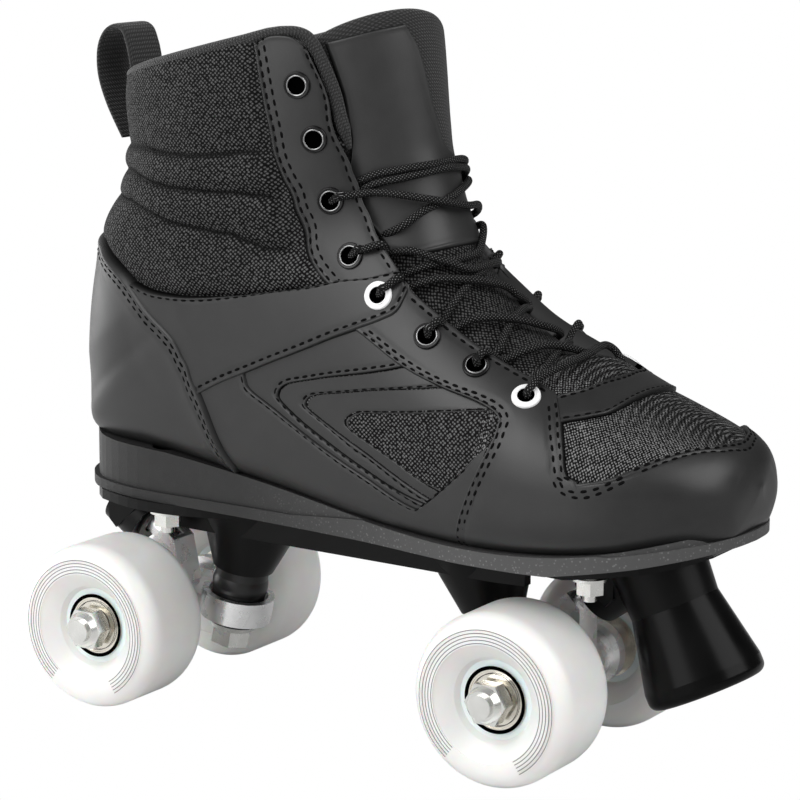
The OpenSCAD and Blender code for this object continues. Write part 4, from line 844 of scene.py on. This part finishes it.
def tongue():
    """Padded tongue: a crowned face from the vamp to above the rim, rolled over at its top in a half circle,
    with a backing. It is knit above and mesh below, and a leather panel lies on it above a stitched seam."""
    f = np.linspace(-1, 1, 90)
    end = TONGUE_END - .75 * f - 1.2 * f**2
    t = 5 + (end[None] - 5) * np.linspace(0, 1, 240)[:, None]
    across = np.broadcast_to(f[None], t.shape)
    half = throat(t) + TONGUE_UNDER
    off = tongue_off(t, across)
    face = boot(t, across * half, off)
    a = np.linspace(0, np.pi, 12)[1:, None]
    roll = boot(end + .2 * np.sin(a), f * half[-1], off[-1] - TONGUE_THICK * (1 - np.cos(a)) / 2)
    back = boot(*(v[::-4] for v in (t, across * half, off - TONGUE_THICK - 2 * (1 - across**2))))
    split = int((t[:, len(f) // 2] < TONGUE_SEAM).sum())
    for name, p, mat in (("tongue_pad", np.concatenate([face[split:], roll, back]), BINDING),
                         ("tongue_mesh", face[:split + 1], MESH)):
        # Painted shade of 0.35 over the tongue, as between the laces: the mesh shows it, the knit pad doesn't
        # read it
        o = piece(name, p, faces(*p.shape[:2]), mat, measure(p), np.full(p.shape[:2], .35),
                  replaces=("tongue",) if name == "tongue_pad" else ())
    rows = np.linspace(9.5, 16.32, 14)
    right_edge = [[t, -np.interp(t, *PANEL.T)] for t in rows]
    left_edge = [[t, np.interp(t, *PANEL_LEFT.T)] for t in rows]
    leather("tongue_leather_panel", right_edge, left_edge, PANEL_THICK,
            [("low", *PLAIN), ("high", *PLAIN), ("near", "fold", (1.8,), 0, 1), ("far", *PLAIN)],
            near=[right_edge[0], [9.02, -21.5], [8.7, -11], [8.6, 2.7], [8.75, 15], left_edge[0]],
            far=[right_edge[-1], [16.31, -30], [16.32, -21], left_edge[-1]], material=LEATHER_TONGUE,
            slot="tongue_leather", base=tongue_ground)


tongue()

# The front run of the collar's binding on one side, as (station, angle), up the lace opening to the rim
BINDING_FRONT = [
    [13.2, 25], [13.67, 26.6], [14.14, 28.9], [14.85, 33.2], [15.43, 36.6], [15.95, 39.6], [16.3, 42.2],
    [16.5, 44.6], [16.63, 47.5], [16.72, 51], [16.8, 56.5]]
TAPE_WIDE, TAPE_HIGH, TAPE_ROUND = 2.9, 2.1, 15.6  # half axes of the tape's section and the way round it
TAPE_DEEP = 1.6  # depth of its middle below the boot surface


def binding():
    """Knit tape round the collar's rim: a soft flattened tube up one side of the lace opening, round the
    heel and down the other side, thinner at both ends, where it goes in under the eyestays."""
    n = 24
    front = curve(BINDING_FRONT, 90)
    round_heel = np.linspace(62, 298, 260)
    t = np.concatenate([front[:, 0], rim(round_heel) + .04, front[::-1, 0]])
    angle = np.concatenate([front[:, 1], round_heel, 360 - front[::-1, 1]])
    path = boot(t, angle, -TAPE_DEEP)
    out = unit(boot(t, angle, 0) - path)
    up = unit(np.cross(out, np.gradient(path, axis=0)))
    step = np.arange(len(t))
    size = np.minimum(1, .35 + .65 * np.minimum(step, step[::-1]) / 14)[:, None, None]
    p = rings(path, out, up, size * TAPE_WIDE, size * TAPE_HIGH, n)
    uv = np.stack(np.broadcast_arrays(travel(path[:, None], 0), np.linspace(0, TAPE_ROUND, n)[None]), -1)
    piece("collar_binding_tape", p, faces(len(t), n, wrap=True), BINDING, uv,
          replaces=("collar_binding",))


binding()

# Middle line of the pull loop in side view, as x and z, and half the width and thickness of its webbing
LOOP_LINE = [[-96, 195], [-102.3, 206], [-106, 216], [-106.3, 225], [-103.8, 231], [-99.5, 233.7],
             [-95.8, 232.3], [-93.8, 228], [-92.6, 223.5], [-91.3, 216]]
LOOP_WIDE, LOOP_THICK = 9.2, .8


def pull_loop():
    """Webbing loop at the heel: a flat tape that stands up behind the collar and folds over into itself. Its
    section is a rectangle with rounded corners, from powers of sine and cosine."""
    n, m = 60, 28
    path = curve(LOOP_LINE, n)
    d = np.gradient(path, axis=0)
    out = unit(np.stack([-d[:, 1], d[:, 0]], -1))
    c, s = np.cos(around(m)), np.sin(around(m))
    wide = np.broadcast_to(LOOP_WIDE * np.sign(c) * np.abs(c)**.3, (n, m))
    thick = LOOP_THICK * np.sign(s) * np.abs(s)**.5
    p = np.stack([path[:, :1] + out[:, :1] * thick, wide, path[:, 1:] + out[:, 1:] * thick], -1)
    piece("pull_loop_webbing", p, faces(n, m, wrap=True), WEBBING, np.stack([travel(p, 0), wide], -1),
          replaces=("pull_loop",))


pull_loop()

# Eyelets from the top down: station, angle and height over the boot
EYELETS = [
    [15.46, 49.2], [13.93, 38], [11.8, 28.2], [10.01, 35.9], [8.93, 45.3], [7.68, 47.9], [6.61, 48.2],
    [5.59, 53.5]]
EYELET_LIFT = (1.9, 1.9, 1.9, 1.9, 2.8, 2.2, 2.2, 2.2)
WHITE = (4, 7)  # which of them are white, counted from 0
# Section of an eyelet: radii and heights, and which rows of it make each part
EYELET_R = {"black": [4.5, 4.47, 4.25, 4.0, 3.75, 3.5, 3.35, 3.18, 3.0, 2.85, 2.7, 2.6, .01],
            "white": [4.75, 4.72, 4.45, 4.0, 3.6, 3.4, 3.25, 3.0, 2.8, 2.65, 2.6, 2.55, .01]}
EYELET_Z = np.array([-.3, .3, .6, .62, .5, .55, .8, .84, .66, .4, .1, -.02, -.02])
# Each hole is a closed disc of painted shade
EYELET_PARTS = {"flanges": (0, 6, EYELET), "rims": (5, 9, EYELET_RIM), "shaded_holes": (8, 13, PAINTED_SHADE_SHEET)}


def eyelet(k, side, radii, n):
    """One turned ring: circles of the given radii square to the boot surface at the eyelet's place."""
    (t, angle), lift = EYELETS[k], EYELET_LIFT[k]
    angle = side * angle
    c = boot(t, angle, lift)
    e1 = boot(t + .05, angle, lift) - boot(t - .05, angle, lift)
    out = unit(np.cross(e1, boot(t, angle + 1, lift) - boot(t, angle - 1, lift)))
    out = out * np.sign(out @ (boot(t, angle, lift + 1) - c))
    e1 = unit(e1)
    r = np.array(radii)[:, None, None]
    return rings(c + EYELET_Z[:, None] * out, e1[None], np.cross(out, e1)[None], r, r, n)


def eyelets():
    """Turned rings on each side: a rolled outer flange, a bright inner rim and a closed hole painted near
    black, painted shade for the inside of the hole.
    """
    n = 40
    for colour, picks in (("black", [k for k in range(len(EYELETS)) if k not in WHITE]), ("white", WHITE)):
        turned_rings = np.array([eyelet(k, side, EYELET_R[colour], n) for k in picks for side in SIDES])
        for word, (i, j, mat) in EYELET_PARTS.items():
            if colour == "white" and word != "shaded_holes":
                mat = EYELET_WHITE
            piece(f"eyelet_{word}_{colour}", turned_rings[:, i:j],
                  copies(len(turned_rings), j - i, n, wrap=True), mat,
                  replaces=("eyelets_" + colour,) if word == "flanges" else ())


eyelets()

LACE_R, LACE_GAP = 1.3, .45  # radius, and room between the lace and what it lies on
# Each strand's way over the tongue as (station, angle), from beside its own eyelet to under the far edge.
# The first of each pair starts on the right, the second on the left with its angles changed in sign.
STRANDS = {
    2: ([[11.25, 18.6], [10.6, 15.6], [9.93, 12], [9.52, 6.7], [9.3, -1.3], [9.42, -10.6], [9.65, -20]],
        [[11.2, 19], [10.75, 14], [10.28, 9.4], [9.76, -3.4], [9.79, -13.5], [9.81, -20.3]]),
    3: ([[9.55, 27.6], [9.14, 25], [8.62, 21], [8.21, 15.6], [7.95, 9.9], [7.95, -4], [8.25, -20]],
        [[9.6, 27], [9.08, 15.5], [8.54, 8.2], [8.3, .2], [8.37, -13], [8.67, -22.6]]),
    4: ([[8.77, 35.7], [8.33, 26], [7.72, 12], [7.4, -2.5], [7.25, -9], [7.35, -24]],
        [[8.7, 33], [8.26, 21], [8.0, 5], [7.83, -12.3], [7.78, -24.7]]),
    5: ([[7.52, 35.6], [7.23, 25.7], [6.76, 11.2], [6.37, -7.7], [6.42, -24]],
        [[7.5, 36], [7.28, 27], [7.0, 8], [6.81, -11], [6.64, -28.6]]),
    6: ([[6.46, 35.4], [6.2, 25], [5.98, 10], [5.76, -4.6], [5.65, -24]],
        [[6.5, 38], [6.32, 30.6], [5.96, .2], [5.8, -28]])}
STRAND_LIFT = {-1: 2.6, 1: .2}  # the right strands lie over the left ones
# The strand at the foot of the lacing: station, angle and height over the boot
FOOT_STRAND = [
    [5.59, -53.5, -1], [5.57, -52.3, 3.4], [5.53, -48.3, 4.3], [5.51, -42.8, 4.0], [5.41, -26, 2.5],
    [5.41, -3.3, 1.5], [5.55, 20, 1.6], [5.58, 30, 2.0], [5.48, 34, 1.2], [5.36, 37, -1.5], [5.3, 42, -4]]
TOP_STRANDS = [
    [[12.0, -25], [11.92, -18.9], [11.51, -12.5], [11.14, -6.4], [11.13, 6.7], [11.25, 16], [11.3, 26]],
    [[11.62, -25], [11.58, -18.7], [11.17, -12.9], [10.88, -6.9], [10.77, 0], [10.8, 12], [10.9, 26]]]
TOP_END = -6.5  # height of both ends of the top strands, under the eyestays


def on_tongue(rows, lift):
    """Points of a strand that lies on the tongue, lifted by the given mm towards the middle of its way."""
    t, angle = np.array(rows).T
    panel = np.where((t > 8.8) & (np.abs(angle) < np.interp(t, *PANEL.T)), PANEL_THICK, 0)
    arch = lift * np.sin(np.pi * np.linspace(.12, .9, len(t)))
    return np.stack([t, angle, tongue_ground(t, angle) + panel + LACE_R + LACE_GAP + arch], 1)


def strand(k, rows, side, lift):
    """One strand: up out of an eyelet, over its edge, across the tongue and under the far edge lower down."""
    (t0, a0), (t1, _) = EYELETS[k], EYELETS[k + 1]
    over = (1.9 if k < 4 else 2.4) + LACE_R
    edge, far_edge = throat(t0) + 4, throat(t1)
    way = (edge - a0) / (rows[0][1] - a0)
    lean = lambda f: t0 + (rows[0][0] - t0) * f
    start = [[t0, a0, -1.0], [lean(.08), a0 - 1.5, over + .9],
             [lean(.4 * way), a0 + .4 * (edge - a0), over + .5], [lean(way), edge, over]]
    end = [[t1 + .1, 2 - far_edge, -6.4], [t1, -far_edge - 5, -7.0]]
    path = np.concatenate([start, on_tongue(rows, lift), end])
    return boot(path[:, 0], side * path[:, 1], path[:, 2])


def tube(path, radius, n):
    """Rings of a tube along a path: each ring stands square to the path, turned so that it doesn't twist."""
    d = unit(np.gradient(path, axis=0))
    u = unit(np.cross(d, [.6, 0, .8]))
    return rings(path, u, np.cross(u, d), radius, radius, n)


def lace():
    """Round braided lace: crossings from the third to the seventh pair of eyelets, a bar at the foot of the
    lacing and two strands tucked in under the eyestays above."""
    paths = [strand(k, rows, side, STRAND_LIFT[side])
             for k, pair in STRANDS.items() for rows, side in zip(pair, SIDES)]
    paths.append(boot(*np.array(FOOT_STRAND).T))
    for rows in TOP_STRANDS:
        path = on_tongue(rows, STRAND_LIFT[1])
        path[[0, -1], 2] = TOP_END
        paths.append(boot(*path.T))
    n, m = 130, 14
    lines = [curve(path, n) for path in paths]
    along = [travel(line[:, None], 0) for line in lines]
    print("lace on show, mm:", round(sum(v[-1, 0] for v in along)))
    turn = np.linspace(0, 2 * np.pi * LACE_R, m)[None]
    uv = [np.stack(np.broadcast_arrays(v, turn), -1) for v in along]
    piece("lace_braid", np.array([tube(line, LACE_R, m) for line in lines]),
          copies(len(lines), n, m, wrap=True), BRAID, np.array(uv), replaces=("lace",))


lace()

# Wheels: printed rings, and rings of painted shade in the gap round each bearing and in a groove on its
# shield, as inner and outer radii
AXLE_X, AXLE_Z, TRACK, WHEEL_W = 80.5, 29.0, 76.0, 34.0
PRINT_RINGS = [[r, r + .26] for r in (19.9, 21, 22.1, 23.2, 24.3)]
PRINT_FROM, PRINT_TO, PRINT_OUT = -58, 234, .03  # angles, and mm in front of the wheel's face
GAP_SHADE_RINGS, GAP_SHADE_OUT = [[9.95, 11.2], [8.55, 8.75]], .12


def ring_bands(name, radii, start, end, x, y, material, body):
    """Flat bands between pairs of radii from one angle to another round an axle, in a plane of constant y."""
    n = 120
    a = np.radians(np.linspace(start, end, n))
    r = np.array(radii)[..., None]
    p = np.stack(np.broadcast_arrays(x + r * np.cos(a), y, AXLE_Z + r * np.sin(a)), -1)
    piece(name, p, copies(len(radii), 2, n, flip=y > 0), material, body=body)


for end, ex in (("f", 1), ("r", -1)):
    for hand, ey in (("r", -1), ("l", 1)):
        wheel, x = end + hand, ex * AXLE_X
        ring_bands("printed_rings_" + wheel, PRINT_RINGS, PRINT_FROM, PRINT_TO, x,
                   ey * (TRACK / 2 + WHEEL_W / 2 + PRINT_OUT), PRINT, "wheel_" + wheel)
        steel = NODES["bearing_outer_rings_" + wheel].data
        co = np.empty(3 * len(steel.vertices))
        steel.vertices.foreach_get("co", co)
        # Painted shade in the bearing's gap and groove, just in front of its face
        ring_bands("bearing_gap_shade_" + wheel, GAP_SHADE_RINGS, 0, 360, x,
                   ey * (np.abs(co[1::3]).max() / MM + GAP_SHADE_OUT), PAINTED_SHADE_SHEET, "wheel_" + wheel)

# CAD nodes that stay, with their materials: by whole name, by start of name or by a part of it
FINISH = {
    "wheel_": URETHANE, "bearing_": BEARING, "_bearing_": BEARING, "_hanger": CHROME, "_axle": ZINC,
    "_kingpin": ZINC, "_cushion": CUSHION, "_pivot_cup": CUSHION, "plate": NYLON, "plate_bolts": ZINC,
    "plate_nuts": ZINC, "toe_stop": STOP, "toe_stop_bolt": ZINC, "sole": SOLE, "insole": INSOLE}
for name, o in NODES.items():
    if not o.hide_render:
        keys = [k for k in FINISH
                if name == k or (k[-1] == "_" and name.startswith(k)) or (k[0] == "_" and k in name)]
        o.data.materials.clear()
        o.data.materials.append(FINISH[max(keys, key=len)])

# Floor, light and camera
FLOOR_HALF = 30
SHADE_FROM, SHADE_TO = -.3, .3  # x between which the floor's light on the skate falls off
SKY_FROM = (-.55, -.83, .1)  # the side on which the sky is bright


def white_to_camera(tree, lit, plain, output):
    """Plain white for the camera, and the lit shader for every other ray."""
    ray = add(tree, "LightPath")
    seen = add(tree, plain, Color=(1, 1, 1, 1), Strength=1.0)
    mix = add(tree, "MixShader", {0: ray.outputs["Is Camera Ray"], 1: lit.outputs[0], 2: seen.outputs[0]})
    tree.links.new(mix.outputs[0], tree.nodes[output].inputs["Surface"])


floor_mat, tree, shader, place = surface("white studio floor", Roughness=.9)
spread = along_x(tree, place, SHADE_FROM, SHADE_TO)
feed(tree, shader, Base_Color=ramp(tree, spread, (0, "#f4f4f4"), (1, "#b8b8b8")))
white_to_camera(tree, shader, "Emission", "Material Output")
me = bpy.data.meshes.new("floor")
me.from_pydata([(x * FLOOR_HALF, y * FLOOR_HALF, 0) for x, y in ((-1, -1), (1, -1), (1, 1), (-1, 1))], [],
               [(0, 1, 2, 3)])
me.materials.append(floor_mat)
floor = bpy.data.objects.new("floor", me)
bpy.context.scene.collection.objects.link(floor)

world = bpy.data.worlds.new("studio")
bpy.context.scene.world = world
world.use_nodes = True
sky = world.node_tree
back = sky.nodes["Background"]
back.inputs["Color"].default_value = (1, 1, 1, 1)
way = add(sky, "VectorMath", {0: add(sky, "TexCoord").outputs["Generated"]}, operation="DOT_PRODUCT")
way.inputs[1].default_value = SKY_FROM
side_light = add(sky, "MapRange", {"Value": way.outputs["Value"]}, From_Min=-1, From_Max=1, To_Min=.06,
                 To_Max=.55)
sky.links.new(side_light.outputs["Result"], back.inputs["Strength"])
white_to_camera(sky, back, "Background", "World Output")

TARGET = np.array([13.85 - MID_X, 0, 111.35]) * MM


def put(name, data, x, z, place):
    """Puts an object at a place in metres, with its own x and z along these unit vectors."""
    o = bpy.data.objects.new(name, data)
    bpy.context.scene.collection.objects.link(o)
    m = np.eye(4)
    m[:3] = np.stack([x, np.cross(z, x), z, place], 1)
    o.matrix_world = Matrix(m.tolist())
    return o


def lamp(name, place, size, power):
    """Soft square lamp at a place in metres, turned to the skate."""
    data = bpy.data.lights.new(name, "AREA")
    data.size, data.energy = size, power
    z = unit(np.array(place) - TARGET)
    put(name, data, unit(np.cross([0, 0, 1], z)), z, place)


lamp("key", (-.45, -1.35, 1.4), 1.3, 20)
lamp("front", (-.6, -1.9, .45), 1.2, 9)
lamp("fill", (1.6, .1, 1.25), 1.6, 24)
lamp("rim", (-1.3, .05, .32), .6, 6)

AZ, EL, ROLL, DIST, LENS = np.radians(32.02), np.radians(11.26), np.radians(.3), .98522, 130.48
cam = bpy.data.cameras.new("camera")
cam.lens, cam.sensor_width, cam.clip_end = LENS, 36, 100
z = np.array([np.sin(AZ) * np.cos(EL), -np.cos(AZ) * np.cos(EL), np.sin(EL)])
level_x = np.array([np.cos(AZ), np.sin(AZ), 0])
x = level_x * np.cos(ROLL) + np.cross(z, level_x) * np.sin(ROLL)
bpy.context.scene.camera = put("camera", cam, x, z, TARGET + z * DIST)
bpy.context.scene.view_settings.view_transform = "Standard"
